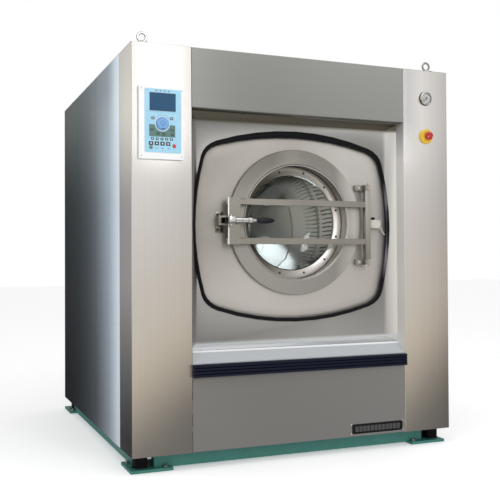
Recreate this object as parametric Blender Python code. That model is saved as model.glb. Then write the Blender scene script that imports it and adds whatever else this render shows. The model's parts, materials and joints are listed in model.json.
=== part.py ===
"""A front-loading industrial washer extractor for commercial laundries, about 100 kg of linen a load.

Every builder below takes casing coordinates in metres: x to the right of the casing's left edge,
y behind the casing's front face and z above the casing's lower edge. The world's origin is on the
floor under the middle of the machine, with +Z up and the front facing -Y.
"""

import bpy
import bmesh
from math import asin, atan2, cos, hypot, pi, radians, sin, tan
from mathutils import Vector

for old in list(bpy.data.objects):
    bpy.data.objects.remove(old, do_unlink=True)

# ---------------------------------------------------------------- driving dimensions
CASING_WIDTH = 1.773
CASING_DEPTH = 1.874
CASING_HEIGHT = 1.950
FLOOR_GAP = 0.080          # height of the steel base and its isolators under the casing
SHEET = 0.002              # thickness of the casing's stainless sheet
GAP = 0.0003               # fitting gap between pieces that touch
BEND = 0.004               # outer radius of a folded edge

LEFT_PILLAR = 0.298        # width of the left front cover
RIGHT_PILLAR = 0.282
PILLAR_RETURN = 0.237      # how far a front cover wraps round the side
INNER_RETURN = 0.070       # how far it wraps into the recess
SEAM_1 = 0.822             # joints between the side panels, behind the front face
SEAM_2 = 1.385
SEAM = 0.003               # width of a joint between two side panels

RECESS_LEFT = LEFT_PILLAR
RECESS_RIGHT = CASING_WIDTH - RIGHT_PILLAR
RECESS_TOP = 1.658         # lower edge of the hood
RECESS_BOTTOM = 0.480      # where the light sill begins
RECESS_DEPTH = 0.100       # the recessed panel's face behind the front face
SPLAY = 0.051              # width of the sloped side reveals
SPLAY_TOP = 0.033
SPLAY_BOTTOM = 0.028
SILL_LOW = 0.425           # front edge of the sill
BUMPER_TOP = 0.420
BUMPER_LOW = 0.359
BUMPER_OUT = 0.026

AXIS_X = (RECESS_LEFT + RECESS_RIGHT) / 2   # the drum's axis
AXIS_Z = 1.117
OPENING_Z = 1.096          # centre of the bowed opening in the recessed panel

TUB_PLATE_FRONT = 0.105
TUB_PLATE_BACK = 0.111
MOUTH_RADIUS = 0.312       # door opening in the tub's front plate
TUB_RADIUS = 0.650
TUB_FRONT = 0.140
TUB_BACK = 1.040
TUB_WALL = 0.006
HUB_RADIUS = 0.120
HUB_END = 1.240
DRUM_RADIUS = 0.600
DRUM_FRONT = 0.190
DRUM_BACK = 0.990
DRUM_MOUTH = 0.328
SHAFT_RADIUS = 0.060

RING_OUTER = 0.376         # the door's pressed ring
RING_INNER = 0.298
RING_FACE_OUTER = 0.088
RING_FACE_INNER = 0.075

HINGE_X = 1.2965
HINGE_Y = 0.060
HINGE_TOP = 1.320
HINGE_LOW = 0.895
HINGE_BLOCK = 0.028
TUBE = 0.031               # hinge tube, square
PIN_RADIUS = 0.008
BAR = 0.030                # height of the door's two cross bars
BAR_TOP_Z = AXIS_Z + 0.098
BAR_LOW_Z = AXIS_Z - 0.100
BAR_FRONT = 0.047
BAR_BACK = 0.072

LATCH_X = 0.507            # the latch lever's pivot
LATCH_Y = 0.020
LATCH_Z = 1.119

PULLEY_FRONT = 1.265
PULLEY_BACK = 1.345
PULLEY_RADIUS = 0.350
MOTOR_Z = 0.230
MOTOR_RADIUS = 0.130
MOTOR_PULLEY_RADIUS = 0.070

WORLD = Vector((-CASING_WIDTH / 2, -CASING_DEPTH / 2, FLOOR_GAP))


# ---------------------------------------------------------------- materials
def material(name, colour, roughness, metallic=0.0, alpha=1.0):
    made = bpy.data.materials.new(name)
    made.use_nodes = True
    shader = made.node_tree.nodes["Principled BSDF"]
    shader.inputs["Base Color"].default_value = (*colour, 1.0)
    shader.inputs["Roughness"].default_value = roughness
    shader.inputs["Metallic"].default_value = metallic
    shader.inputs["Alpha"].default_value = alpha
    made.diffuse_color = (*colour, alpha)
    return made


BRUSHED = material("brushed_stainless", (0.62, 0.61, 0.59), 0.32, 1.0)
SATIN = material("satin_stainless", (0.66, 0.63, 0.60), 0.38, 1.0)
POLISHED = material("polished_steel", (0.75, 0.74, 0.72), 0.15, 1.0)
SILL_ALLOY = material("sill_alloy", (0.72, 0.76, 0.80), 0.30, 1.0)
TEAL = material("teal_paint", (0.05, 0.24, 0.20), 0.45)
NAVY = material("navy_rubber", (0.02, 0.025, 0.06), 0.50)
BLACK_RUBBER = material("black_rubber", (0.012, 0.012, 0.014), 0.55)
BLACK_PLASTIC = material("black_plastic", (0.02, 0.02, 0.022), 0.30)
WHITE = material("white_enamel", (0.85, 0.86, 0.86), 0.30)
LIGHT_BLUE = material("keypad_blue", (0.42, 0.70, 0.86), 0.35)
BLUE = material("dial_blue", (0.05, 0.16, 0.42), 0.30)
GREEN_GREY = material("start_green", (0.30, 0.42, 0.38), 0.40)
RED = material("red_plastic", (0.62, 0.03, 0.02), 0.30)
YELLOW = material("yellow_plastic", (0.85, 0.62, 0.05), 0.35)
GLASS = material("door_glass", (0.80, 0.86, 0.85), 0.05, 0.0, 0.35)
GREY_PAINT = material("grey_paint", (0.20, 0.22, 0.24), 0.50)
CAST = material("cast_iron", (0.16, 0.16, 0.17), 0.60, 0.6)


# ---------------------------------------------------------------- builders
def place(name, shape, look, pivot=(0.0, 0.0, 0.0), smooth=False):
    """Make an object from a bmesh in casing coordinates, with its origin at the pivot."""
    bmesh.ops.recalc_face_normals(shape, faces=shape.faces)
    bmesh.ops.translate(shape, verts=shape.verts, vec=-Vector(pivot))
    mesh = bpy.data.meshes.new(name)
    shape.to_mesh(mesh)
    shape.free()
    mesh.materials.append(look)
    if smooth:
        mesh.shade_smooth()
        mesh.set_sharp_from_angle(angle=radians(35))
    made = bpy.data.objects.new(name, mesh)
    made.location = WORLD + Vector(pivot)
    bpy.context.scene.collection.objects.link(made)
    return made


def block(name, x, y, z, look, pivot=(0.0, 0.0, 0.0), bevel=0.0):
    """A box from three (low, high) pairs."""
    shape = bmesh.new()
    bmesh.ops.create_cube(shape, size=1.0)
    for vert in shape.verts:
        low_high = zip(vert.co, (x, y, z))
        vert.co = [high if side > 0 else low for side, (low, high) in low_high]
    if bevel:
        bmesh.ops.bevel(shape, geom=shape.edges[:], offset=bevel, segments=2, affect="EDGES", profile=0.5)
    return place(name, shape, look, pivot)


def folded(corners, steps=3):
    """An outline from (u, v) corners, where a corner with a third value is rounded to that radius."""
    points = []
    for i, corner in enumerate(corners):
        if len(corner) == 2:
            points.append(corner)
            continue
        here = Vector(corner[:2])
        before = (Vector(corners[i - 1][:2]) - here).normalized()
        after = (Vector(corners[(i + 1) % len(corners)][:2]) - here).normalized()
        half = before.angle(after) / 2
        centre = here + (before + after).normalized() * corner[2] / sin(half)
        start = here + before * corner[2] / tan(half) - centre
        end = here + after * corner[2] / tan(half) - centre
        turn = start.angle_signed(end)
        for k in range(steps + 1):
            angle = -turn * k / steps
            x = start.x * cos(angle) - start.y * sin(angle)
            y = start.x * sin(angle) + start.y * cos(angle)
            points.append((centre.x + x, centre.y + y))
    return points


def in_space(axis, u, v, along):
    """A point from its two coordinates across an axis, in X, Y, Z order, and one along it."""
    return {"X": (along, u, v), "Y": (u, along, v), "Z": (u, v, along)}[axis]


def extruded(name, outline, axis, start, end, look, pivot=(0.0, 0.0, 0.0), smooth=False):
    """A closed outline drawn across an axis and pulled along it."""
    shape = bmesh.new()
    near = [shape.verts.new(in_space(axis, u, v, start)) for u, v in outline]
    far = [shape.verts.new(in_space(axis, u, v, end)) for u, v in outline]
    shape.faces.new(near)
    shape.faces.new(far)
    for i in range(len(near)):
        j = (i + 1) % len(near)
        shape.faces.new((near[i], near[j], far[j], far[i]))
    return place(name, shape, look, pivot, smooth)


def turned(name, profile, axis, centre, steps, look, pivot=(0.0, 0.0, 0.0)):
    """A closed profile of (radius, along) points, turned round an axis through the centre."""
    shape = bmesh.new()
    loops = []
    for radius, along in profile:
        if radius == 0:
            loops.append([shape.verts.new(in_space(axis, *centre, along))] * steps)
            continue
        loop = []
        for k in range(steps):
            angle = 2 * pi * (k + 0.5) / steps
            u = centre[0] + radius * cos(angle)
            v = centre[1] + radius * sin(angle)
            loop.append(shape.verts.new(in_space(axis, u, v, along)))
        loops.append(loop)
    for i, loop in enumerate(loops):
        other = loops[(i + 1) % len(loops)]
        if loop[0] is loop[1] and other[0] is other[1]:
            continue
        for k in range(steps):
            n = (k + 1) % steps
            corners = [loop[k], loop[n], other[n], other[k]]
            shape.faces.new(list(dict.fromkeys(corners)))
    return place(name, shape, look, pivot, smooth=True)


def lofted(name, sections, look, capped=False, smooth=True):
    """A skin through (outline, y) sections with equal numbers of points: a ring, or a capped slab."""
    shape = bmesh.new()
    loops = [[shape.verts.new((x, along, z)) for x, z in outline] for outline, along in sections]
    if capped:
        shape.faces.new(loops[0])
        shape.faces.new(loops[-1])
        pairs = list(zip(loops, loops[1:]))
    else:
        pairs = list(zip(loops, loops[1:] + loops[:1]))
    for loop, other in pairs:
        for k in range(len(loop)):
            n = (k + 1) % len(loop)
            shape.faces.new((loop[k], loop[n], other[n], other[k]))
    return place(name, shape, look, smooth=smooth)


def combine(target, operation, others):
    """Join pieces to the target with UNION, or cut them out of it with DIFFERENCE."""
    for other in others:
        other.hide_render = True
        other.display_type = "WIRE"
        step = target.modifiers.new(other.name, "BOOLEAN")
        step.operation = operation
        step.solver = "EXACT"
        step.object = other
    return target


def joined(target, *others):
    return combine(target, "UNION", others)


def cut(target, *others):
    return combine(target, "DIFFERENCE", others)


# ---------------------------------------------------------------- the bowed opening
def bow(start, middle, end, steps, trim):
    """Points of the arc through three points, with a share trimmed off each end."""
    (ax, ay), (bx, by), (cx, cy) = start, middle, end
    area = 2 * (ax * (by - cy) + bx * (cy - ay) + cx * (ay - by))
    a2, b2, c2 = ax * ax + ay * ay, bx * bx + by * by, cx * cx + cy * cy
    ux = (a2 * (by - cy) + b2 * (cy - ay) + c2 * (ay - by)) / area
    uy = (a2 * (cx - bx) + b2 * (ax - cx) + c2 * (bx - ax)) / area
    radius = hypot(ax - ux, ay - uy)
    first = atan2(ay - uy, ax - ux)
    sweep = (atan2(cy - uy, cx - ux) - first) % (2 * pi)
    points = []
    for k in range(steps + 1):
        angle = first + sweep * (trim + (1 - 2 * trim) * k / steps)
        points.append((ux + radius * cos(angle), uy + radius * sin(angle)))
    return points


def bowed_outline(half_width, rise, drop, corner_x, corner_z, side_steps=8, corner_steps=4):
    """Four bowed sides with rounded corners, anticlockwise from the top right corner."""
    corners = [(corner_x, corner_z), (-corner_x, corner_z), (-corner_x, -corner_z), (corner_x, -corner_z)]
    middles = [(0, rise), (-half_width, 0), (0, -drop), (half_width, 0)]
    sides = [
        bow(corners[i], middles[i], corners[(i + 1) % 4], side_steps, 0.07)
        for i in range(4)
    ]
    points = []
    for i, side in enumerate(sides):
        points += side
        corner = Vector(corners[(i + 1) % 4])
        start, end = Vector(side[-1]), Vector(sides[(i + 1) % 4][0])
        for k in range(1, corner_steps):
            t = k / corner_steps
            points.append(tuple(start * (1 - t) ** 2 + corner * 2 * t * (1 - t) + end * t * t))
    return [(AXIS_X + u, OPENING_Z + v) for u, v in points]


def midway(first, second, share):
    """The outline a share of the way from the first one to the second."""
    return [(a + (c - a) * share, b + (d - b) * share) for (a, b), (c, d) in zip(first, second)]


COLLAR_OUTER = bowed_outline(0.5625, 0.493, 0.493, 0.500, 0.401)
COLLAR_INNER = bowed_outline(0.5495, 0.460, 0.475, 0.487, 0.387)
PANEL_CUT = bowed_outline(0.5632, 0.4937, 0.4937, 0.5007, 0.4017)
TUB_PLATE_EDGE = bowed_outline(0.572, 0.503, 0.503, 0.509, 0.410)
TUB_PLATE_FLAT = bowed_outline(0.498, 0.410, 0.430, 0.440, 0.345)


# ---------------------------------------------------------------- base and chassis
def build_base():
    """Welded base: four foot plates and a ring of flat beams, with a rubber isolator over each plate."""
    plate_low, plate_top = -FLOOR_GAP, -FLOOR_GAP + 0.014
    beam_z = (plate_low + 0.008, -0.010)
    front_left = block("base_frame", (0.002, 0.210), (0.030, 0.232), (plate_low, plate_top), TEAL)
    plates = [
        block(f"foot_plate_{i}", x, y, (plate_low, plate_top), TEAL)
        for i, (x, y) in enumerate((
            ((1.552, 1.760), (0.030, 0.232)),
            ((0.002, 0.210), (1.674, 1.888)),
            ((1.552, 1.760), (1.674, 1.888)),
        ))
    ]
    beams = [
        block("base_beam_front", (0.125, 1.640), (0.072, 0.122), beam_z, TEAL),
        block("base_beam_rear", (0.125, 1.640), (1.772, 1.822), beam_z, TEAL),
        block("base_beam_left", (0.040, 0.090), (0.130, 1.745), beam_z, TEAL),
        block("base_beam_right", (1.672, 1.722), (0.130, 1.745), beam_z, TEAL),
        block("base_beam_middle", (0.085, 1.680), (0.910, 0.960), beam_z, TEAL),
    ]
    joined(front_left, *plates, *beams)
    for end, y in (("front", (0.070, 0.125)), ("rear", (1.749, 1.804))):
        for side, x in (("left", (0.032, 0.092)), ("right", (1.681, 1.741))):
            block(f"isolator_{end}_{side}", x, y, (plate_top + GAP, -GAP), BLACK_RUBBER)


def build_chassis():
    """The frame of square bars inside the casing, with two shelves for the tub's springs."""
    left, right = 0.024, CASING_WIDTH - 0.024
    front, back = INNER_RETURN + 0.005, CASING_DEPTH - 0.006
    post = 0.060
    top = CASING_HEIGHT - 0.006
    chassis = block("chassis", (left, right), (front, front + post), (0.0, 0.070), GREY_PAINT)
    bars = [block("sill_bar_rear", (left, right), (back - post, back), (0.0, 0.070), GREY_PAINT)]
    for name, z in (("low", (0.001, 0.069)), ("high", (top - post, top - 0.001))):
        for side, x in (("left", (left + 0.001, left + post)), ("right", (right - post, right - 0.001))):
            bars.append(block(f"rail_{name}_{side}", x, (front + 0.001, back - 0.001), z, GREY_PAINT))
    for end, y in (("front", (front, front + post)), ("rear", (back - post, back))):
        bars.append(block(f"top_bar_{end}", (left, right), y, (top - post, top), GREY_PAINT))
        for side, x in (("left", (left, left + post)), ("right", (right - post, right))):
            bars.append(block(f"post_{end}_{side}", x, y, (0.002, top - 0.002), GREY_PAINT))
    shelf_z = (0.500, 0.560)
    for side, x in (("left", (0.150, 0.240)), ("right", (1.549, 1.639))):
        bars.append(block(f"shelf_{side}", x, (front + 0.002, back - 0.002), shelf_z, GREY_PAINT))
    for end, y in (("front", (front + 0.001, front + post - 0.001)), ("rear", (back - post, back - 0.001))):
        for side, x in (("left", (left + 0.002, 0.239)), ("right", (1.550, right - 0.002))):
            z = (shelf_z[0] + 0.001, shelf_z[1] - 0.001)
            bars.append(block(f"bracket_{end}_{side}", x, y, z, GREY_PAINT))
    joined(chassis, *bars)


# ---------------------------------------------------------------- casing
def build_front_covers():
    """The two wrapped front covers, the hood, the recessed panel, the sill and the lower panel."""
    top = CASING_HEIGHT - SHEET - GAP
    left = folded([
        (0.0, PILLAR_RETURN), (0.0, 0.0, BEND), (LEFT_PILLAR, 0.0, BEND), (LEFT_PILLAR, INNER_RETURN),
        (LEFT_PILLAR - SHEET, INNER_RETURN), (LEFT_PILLAR - SHEET, SHEET),
        (SHEET, SHEET), (SHEET, PILLAR_RETURN),
    ])
    extruded("left_pillar_cover", left, "Z", 0.0, top, BRUSHED)
    inner = RECESS_RIGHT
    right = folded([
        (CASING_WIDTH, PILLAR_RETURN), (CASING_WIDTH, 0.0, BEND), (inner, 0.0, BEND), (inner, INNER_RETURN),
        (inner + SHEET, INNER_RETURN), (inner + SHEET, SHEET),
        (CASING_WIDTH - SHEET, SHEET), (CASING_WIDTH - SHEET, PILLAR_RETURN),
    ])
    extruded("right_pillar_cover", right, "Z", 0.0, top, BRUSHED)

    span = (RECESS_LEFT + GAP, RECESS_RIGHT - GAP)
    hood = folded([
        (0.0, top), (0.0, RECESS_TOP, BEND), (INNER_RETURN - GAP, RECESS_TOP),
        (INNER_RETURN - GAP, RECESS_TOP + SHEET), (SHEET, RECESS_TOP + SHEET), (SHEET, top),
    ])
    extruded("hood_panel", hood, "X", *span, BRUSHED)

    lower = folded([
        (0.0, BUMPER_TOP - GAP), (0.0, 0.0, BEND), (0.0047, 0.0), (0.0047, SHEET),
        (SHEET, SHEET), (SHEET, BUMPER_TOP - GAP),
    ])
    extruded("lower_panel", lower, "X", *span, BRUSHED)

    sill = [
        (0.0015, SILL_LOW), (INNER_RETURN - GAP, RECESS_BOTTOM - 0.0015),
        (INNER_RETURN - GAP, RECESS_BOTTOM - 0.0055), (0.0040, BUMPER_TOP + GAP), (0.0015, BUMPER_TOP + GAP),
    ]
    extruded("sill", sill, "X", *span, SILL_ALLOY)

    flutes = 4
    pitch = (BUMPER_TOP - BUMPER_LOW) / flutes
    profile = [(-GAP, BUMPER_LOW), (-BUMPER_OUT + 0.006, BUMPER_LOW)]
    for i in range(flutes):
        low = BUMPER_LOW + i * pitch
        profile += [(-BUMPER_OUT, low + 0.2 * pitch), (-BUMPER_OUT, low + 0.8 * pitch)]
        profile.append((-BUMPER_OUT + 0.006, low + pitch))
    profile.append((-GAP, BUMPER_TOP))
    extruded("bumper_strip", profile, "X", span[0] + 0.001, span[1] - 0.001, NAVY)

    left, right, low, high, corner = 1.167, 1.472, 0.014, 0.064, 0.009
    corners = [(left, low, corner), (right, low, corner), (right, high, corner), (left, high, corner)]
    plate = folded(corners, 4)
    extruded("nameplate", plate, "Y", -0.0018, -GAP, BLACK_PLASTIC)


def build_recess_panel():
    """The recessed front panel, folded from one sheet: a flat face with four splayed reveals."""
    left, right = RECESS_LEFT - 0.001, RECESS_RIGHT + 0.001
    low, high = RECESS_BOTTOM, RECESS_TOP
    rim = [(left, low), (right, low), (right, high), (left, high)]
    face = [
        (left + SPLAY, low + SPLAY_BOTTOM), (right - SPLAY, low + SPLAY_BOTTOM),
        (right - SPLAY, high - SPLAY_TOP), (left + SPLAY, high - SPLAY_TOP),
    ]
    shape = bmesh.new()
    layers = []
    for lift in (0.0, SHEET):
        outer = [shape.verts.new((x, INNER_RETURN + GAP + lift, z)) for x, z in rim]
        inner = [shape.verts.new((x, RECESS_DEPTH + lift, z)) for x, z in face]
        shape.faces.new(inner)
        for i in range(4):
            j = (i + 1) % 4
            shape.faces.new((outer[i], outer[j], inner[j], inner[i]))
        layers.append(outer)
    for i in range(4):
        j = (i + 1) % 4
        shape.faces.new((layers[0][i], layers[0][j], layers[1][j], layers[1][i]))
    panel = place("recess_panel", shape, SATIN)
    cut(panel, extruded("opening_cutter", PANEL_CUT, "Y", 0.050, 0.130, SATIN))


def side_panel(name, outside, inward, start, end):
    """One side panel: a flat sheet with a folded edge at each joint."""
    flange = 0.022
    top = CASING_HEIGHT - SHEET - GAP
    outline = [
        (outside, start), (outside, end), (outside + inward * flange, end),
        (outside + inward * flange, end - SHEET), (outside + inward * SHEET, end - SHEET),
        (outside + inward * SHEET, start + SHEET), (outside + inward * flange, start + SHEET),
        (outside + inward * flange, start),
    ]
    return extruded(name, outline, "Z", 0.0, top, BRUSHED)


def build_sides_and_back():
    """Side panels in front, middle and rear lengths, the top panel and the rear panel with its fittings."""
    back = CASING_DEPTH - SHEET - GAP
    spans = (
        ("front", PILLAR_RETURN + SEAM, SEAM_1 - SEAM / 2),
        ("middle", SEAM_1 + SEAM / 2, SEAM_2 - SEAM / 2),
        ("rear", SEAM_2 + SEAM / 2, back),
    )
    for side, outside, inward in (("left", 0.0, 1), ("right", CASING_WIDTH, -1)):
        for name, start, end in spans:
            side_panel(f"{side}_side_panel_{name}", outside, inward, start, end)

    top_z = (CASING_HEIGHT - SHEET, CASING_HEIGHT)
    block("top_panel", (0.0, CASING_WIDTH), (0.0, CASING_DEPTH), top_z, BRUSHED)

    rear_y = (CASING_DEPTH - SHEET, CASING_DEPTH)
    rear = block("rear_panel", (0.0, CASING_WIDTH), rear_y, (0.0, CASING_HEIGHT - SHEET - GAP), BRUSHED)
    face, neck, stub = CASING_DEPTH + 0.046, CASING_DEPTH + 0.034, CASING_DEPTH - 0.001
    fittings = []
    bores = []
    for name, x, z, bore, pipe, flange in (
        ("cold_inlet", 0.420, 1.640, 0.024, 0.030, 0.060),
        ("hot_inlet", 0.640, 1.640, 0.024, 0.030, 0.060),
        ("steam_inlet", 0.860, 1.640, 0.016, 0.022, 0.050),
        ("drain_outlet", 0.420, 0.260, 0.050, 0.057, 0.090),
    ):
        profile = [(0.0, stub), (pipe, stub), (pipe, neck), (flange, neck), (flange, face), (0.0, face)]
        fittings.append(turned(name, profile, "Y", (x, z), 16, POLISHED))
        profile = [(0.0, stub - 0.010), (bore, stub - 0.010), (bore, face + 0.010), (0.0, face + 0.010)]
        bores.append(turned(f"{name}_bore", profile, "Y", (x, z), 16, POLISHED))
    joined(rear, *fittings)
    cut(rear, *bores)


def build_lifting_eyes():
    """An eye bolt over each corner post: two at the front and two at the rear."""
    ring_radius, wire, foot = 0.021, 0.006, 0.038
    hole_height = 0.035
    base = CASING_HEIGHT + GAP
    for end, y in (("front", 0.048), ("rear", CASING_DEPTH - 0.048)):
        for side, x in (("left", 0.064), ("right", 1.671)):
            profile = [(0.0, base), (foot, base), (foot, base + 0.006), (0.013, base + 0.010),
                       (0.010, base + 0.019), (0.0, base + 0.019)]
            eye = turned(f"lifting_eye_{end}_{side}", profile, "Z", (x, y), 12, POLISHED)
            shape = bmesh.new()
            around, across = 14, 6
            rows = []
            for i in range(around):
                a = 2 * pi * i / around
                row = []
                for k in range(across):
                    b = 2 * pi * k / across
                    reach = ring_radius + wire * cos(b)
                    row.append(shape.verts.new((
                        x + reach * cos(a), y + wire * sin(b), base + hole_height + reach * sin(a))))
                rows.append(row)
            for i in range(around):
                for k in range(across):
                    m, n = (i + 1) % around, (k + 1) % across
                    shape.faces.new((rows[i][k], rows[m][k], rows[m][n], rows[i][n]))
            joined(eye, place(f"eye_ring_{end}_{side}", shape, POLISHED, smooth=True))


# ---------------------------------------------------------------- controls
def build_control_panel():
    """The control box on the left cover, its keypad, a rotary dial and the two raised keys."""
    front = -0.020
    block("control_housing", (0.032, 0.252), (front, -GAP), (1.398, 1.742), WHITE, bevel=0.003)
    keypad_y = (front - 0.0027, front - GAP)
    keypad = extruded(
        "keypad",
        folded([(0.059, 1.429, 0.006), (0.237, 1.429, 0.006), (0.237, 1.729, 0.006), (0.059, 1.729, 0.006)]),
        "Y", *keypad_y, LIGHT_BLUE)
    dial_at, start_at, stop_at = (0.144, 1.565), (0.089, 1.452), (0.202, 1.462)

    def hole(name, at, radius):
        near, far = front - 0.020, front + 0.010
        profile = [(0.0, near), (0.0, far), (radius, far), (radius, near)]
        return turned(name, profile, "Y", at, 16, LIGHT_BLUE)

    cut(keypad, hole("dial_hole", dial_at, 0.0080), hole("start_hole", start_at, 0.0085),
        hole("stop_hole", stop_at, 0.0095))

    knob_back, knob_front = front - 0.0030, front - 0.0150
    profile = [
        (0.0, front - 0.0006), (0.0065, front - 0.0006), (0.0065, knob_back), (0.031, knob_back),
        (0.031, knob_front + 0.004), (0.028, knob_front), (0.012, knob_front), (0.010, knob_front + 0.0015),
        (0.0, knob_front + 0.0015),
    ]
    turned("dial", profile, "Y", dial_at, 24, BLUE, pivot=(dial_at[0], front, dial_at[1]))
    for name, at, radius, look in (
        ("start_key", start_at, 0.0080, GREEN_GREY), ("stop_key", stop_at, 0.0090, RED),
    ):
        back, face = front - 0.0021, front - 0.0055
        profile = [(0.0, back), (radius, back), (radius, face + 0.001), (radius - 0.001, face), (0.0, face)]
        turned(name, profile, "Y", at, 16, look, pivot=(at[0], back, at[1]))


def build_right_cover_fittings():
    """The round gauge with its needle, and the emergency stop on its yellow collar."""
    gauge = (1.632, 1.797)
    case = [
        (0.0, -GAP), (0.033, -GAP), (0.036, -0.004), (0.036, -0.016), (0.034, -0.018), (0.031, -0.018),
        (0.030, -0.009), (0.0, -0.009),
    ]
    turned("gauge_case", case, "Y", gauge, 24, POLISHED)
    pivot = (gauge[0], -0.0112, gauge[1])
    needle = turned("gauge_needle", [(0.0, -0.0124), (0.0, -0.0100), (0.003, -0.0100), (0.003, -0.0124)],
                    "Y", gauge, 10, BLACK_PLASTIC, pivot=pivot)
    lean = radians(225)
    along, across = Vector((cos(lean), sin(lean))), Vector((-sin(lean), cos(lean)))
    centre = Vector(gauge)
    tip, tail = centre + along * 0.024, centre - along * 0.008
    hand = [tail + across * 0.0016, tail - across * 0.0016, tip - across * 0.0006, tip + across * 0.0006]
    joined(needle, extruded("needle_hand", [tuple(p) for p in hand], "Y", -0.0120, -0.0104, BLACK_PLASTIC,
                            pivot=pivot))

    stop = (1.634, 1.590)
    collar = [
        (0.0125, -GAP), (0.040, -GAP), (0.040, -0.010), (0.036, -0.016), (0.0125, -0.016),
    ]
    turned("estop_collar", collar, "Y", stop, 24, YELLOW)
    mushroom = [
        (0.0, -0.0095), (0.0115, -0.0095), (0.0115, -0.026), (0.022, -0.026), (0.0235, -0.030),
        (0.0225, -0.038), (0.017, -0.044), (0.0, -0.046),
    ]
    turned("estop_button", mushroom, "Y", stop, 20, RED, pivot=(stop[0], -0.026, stop[1]))


# ---------------------------------------------------------------- tub, collar and drum
def build_tub():
    """The suspended tub: bowed front plate, rubber collar, shell with hub, brackets and sump."""
    axis = (AXIS_X, AXIS_Z)
    lip, shoulder, foot = 0.0895, 0.0935, 0.1035
    lofted("rubber_collar", [
        (COLLAR_OUTER, shoulder), (COLLAR_OUTER, foot), (COLLAR_INNER, foot), (COLLAR_INNER, shoulder),
        (midway(COLLAR_INNER, COLLAR_OUTER, 0.25), lip), (midway(COLLAR_INNER, COLLAR_OUTER, 0.75), lip),
    ], BLACK_RUBBER)

    rim_set_back = 0.016       # how far the plate's rim curves back from its flat middle
    plate = lofted("tub_front_plate", [
        (TUB_PLATE_FLAT, TUB_PLATE_FRONT),
        (midway(TUB_PLATE_FLAT, TUB_PLATE_EDGE, 0.35), TUB_PLATE_FRONT + 0.15 * rim_set_back),
        (midway(TUB_PLATE_FLAT, TUB_PLATE_EDGE, 0.70), TUB_PLATE_FRONT + 0.52 * rim_set_back),
        (TUB_PLATE_EDGE, TUB_PLATE_FRONT + rim_set_back),
        (TUB_PLATE_EDGE, TUB_PLATE_BACK + rim_set_back),
        (TUB_PLATE_FLAT, TUB_PLATE_BACK),
    ], SATIN, capped=True)
    mouth = [(0.0, 0.05), (0.0, 0.13), (MOUTH_RADIUS, 0.13), (MOUTH_RADIUS, 0.05)]
    cut(plate, turned("mouth_cutter", mouth, "Y", axis, 40, SATIN))

    neck = MOUTH_RADIUS + 0.003
    wall, end_wall = TUB_RADIUS - TUB_WALL, TUB_BACK - TUB_WALL
    bore = SHAFT_RADIUS + 0.0015
    shell = [
        (neck, TUB_PLATE_BACK + GAP), (neck + 0.006, TUB_PLATE_BACK + GAP), (neck + 0.006, TUB_FRONT),
        (TUB_RADIUS, TUB_FRONT), (TUB_RADIUS, TUB_BACK),
        (HUB_RADIUS + 0.09, TUB_BACK), (HUB_RADIUS, TUB_BACK + 0.06),
        (HUB_RADIUS, HUB_END), (bore, HUB_END), (bore, end_wall), (wall, end_wall),
        (wall, TUB_FRONT + TUB_WALL), (neck, TUB_FRONT + TUB_WALL),
    ]
    tub = turned("tub_shell", shell, "Y", axis, 36, SATIN)
    added = []
    for side, x in (("left", (0.120, AXIS_X - 0.590)), ("right", (AXIS_X + 0.590, 1.669))):
        for end, y in (("front", (0.320, 0.420)), ("rear", (0.800, 0.900))):
            added.append(block(f"spring_bracket_{side}_{end}", x, y, (0.840, 0.860), SATIN))
    cradle_top = AXIS_Z - TUB_RADIUS + 0.010
    added.append(block("motor_cradle", (AXIS_X - 0.060, AXIS_X + 0.060), (0.900, 1.036),
                       (cradle_top - 0.060, cradle_top), SATIN))
    sump = [(0.0, cradle_top), (0.050, cradle_top), (0.050, 0.330), (0.0, 0.330)]
    added.append(turned("sump", sump, "Z", (AXIS_X, 0.500), 16, SATIN))
    joined(tub, *added)
    drain = [(0.0, cradle_top + 0.04), (0.044, cradle_top + 0.04), (0.044, 0.300), (0.0, 0.300)]
    cut(tub, turned("sump_bore", drain, "Z", (AXIS_X, 0.500), 16, SATIN))


def build_springs():
    """Four coil springs that stand on the chassis shelves and carry the tub's brackets."""
    wire, radius, turns, steps = 0.007, 0.034, 4, 9
    low, high = 0.560 + GAP + wire * 1.08, 0.840 - GAP - wire * 1.08
    for side, x in (("left", 0.195), ("right", 1.594)):
        for end, y in (("front", 0.370), ("rear", 0.850)):
            curve = bpy.data.curves.new(f"spring_{end}_{side}", "CURVE")
            curve.dimensions = "3D"
            curve.bevel_depth = wire
            curve.bevel_resolution = 1
            curve.use_fill_caps = True
            line = curve.splines.new("POLY")
            line.points.add(turns * steps)
            for k, point in enumerate(line.points):
                angle = 2 * pi * k / steps
                height = low + (high - low) * k / (turns * steps)
                point.co = (radius * cos(angle), radius * sin(angle), height, 1.0)
            curve.materials.append(CAST)
            spring = bpy.data.objects.new(f"spring_{end}_{side}", curve)
            spring.location = WORLD + Vector((x, y, 0.0))
            bpy.context.scene.collection.objects.link(spring)


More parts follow.
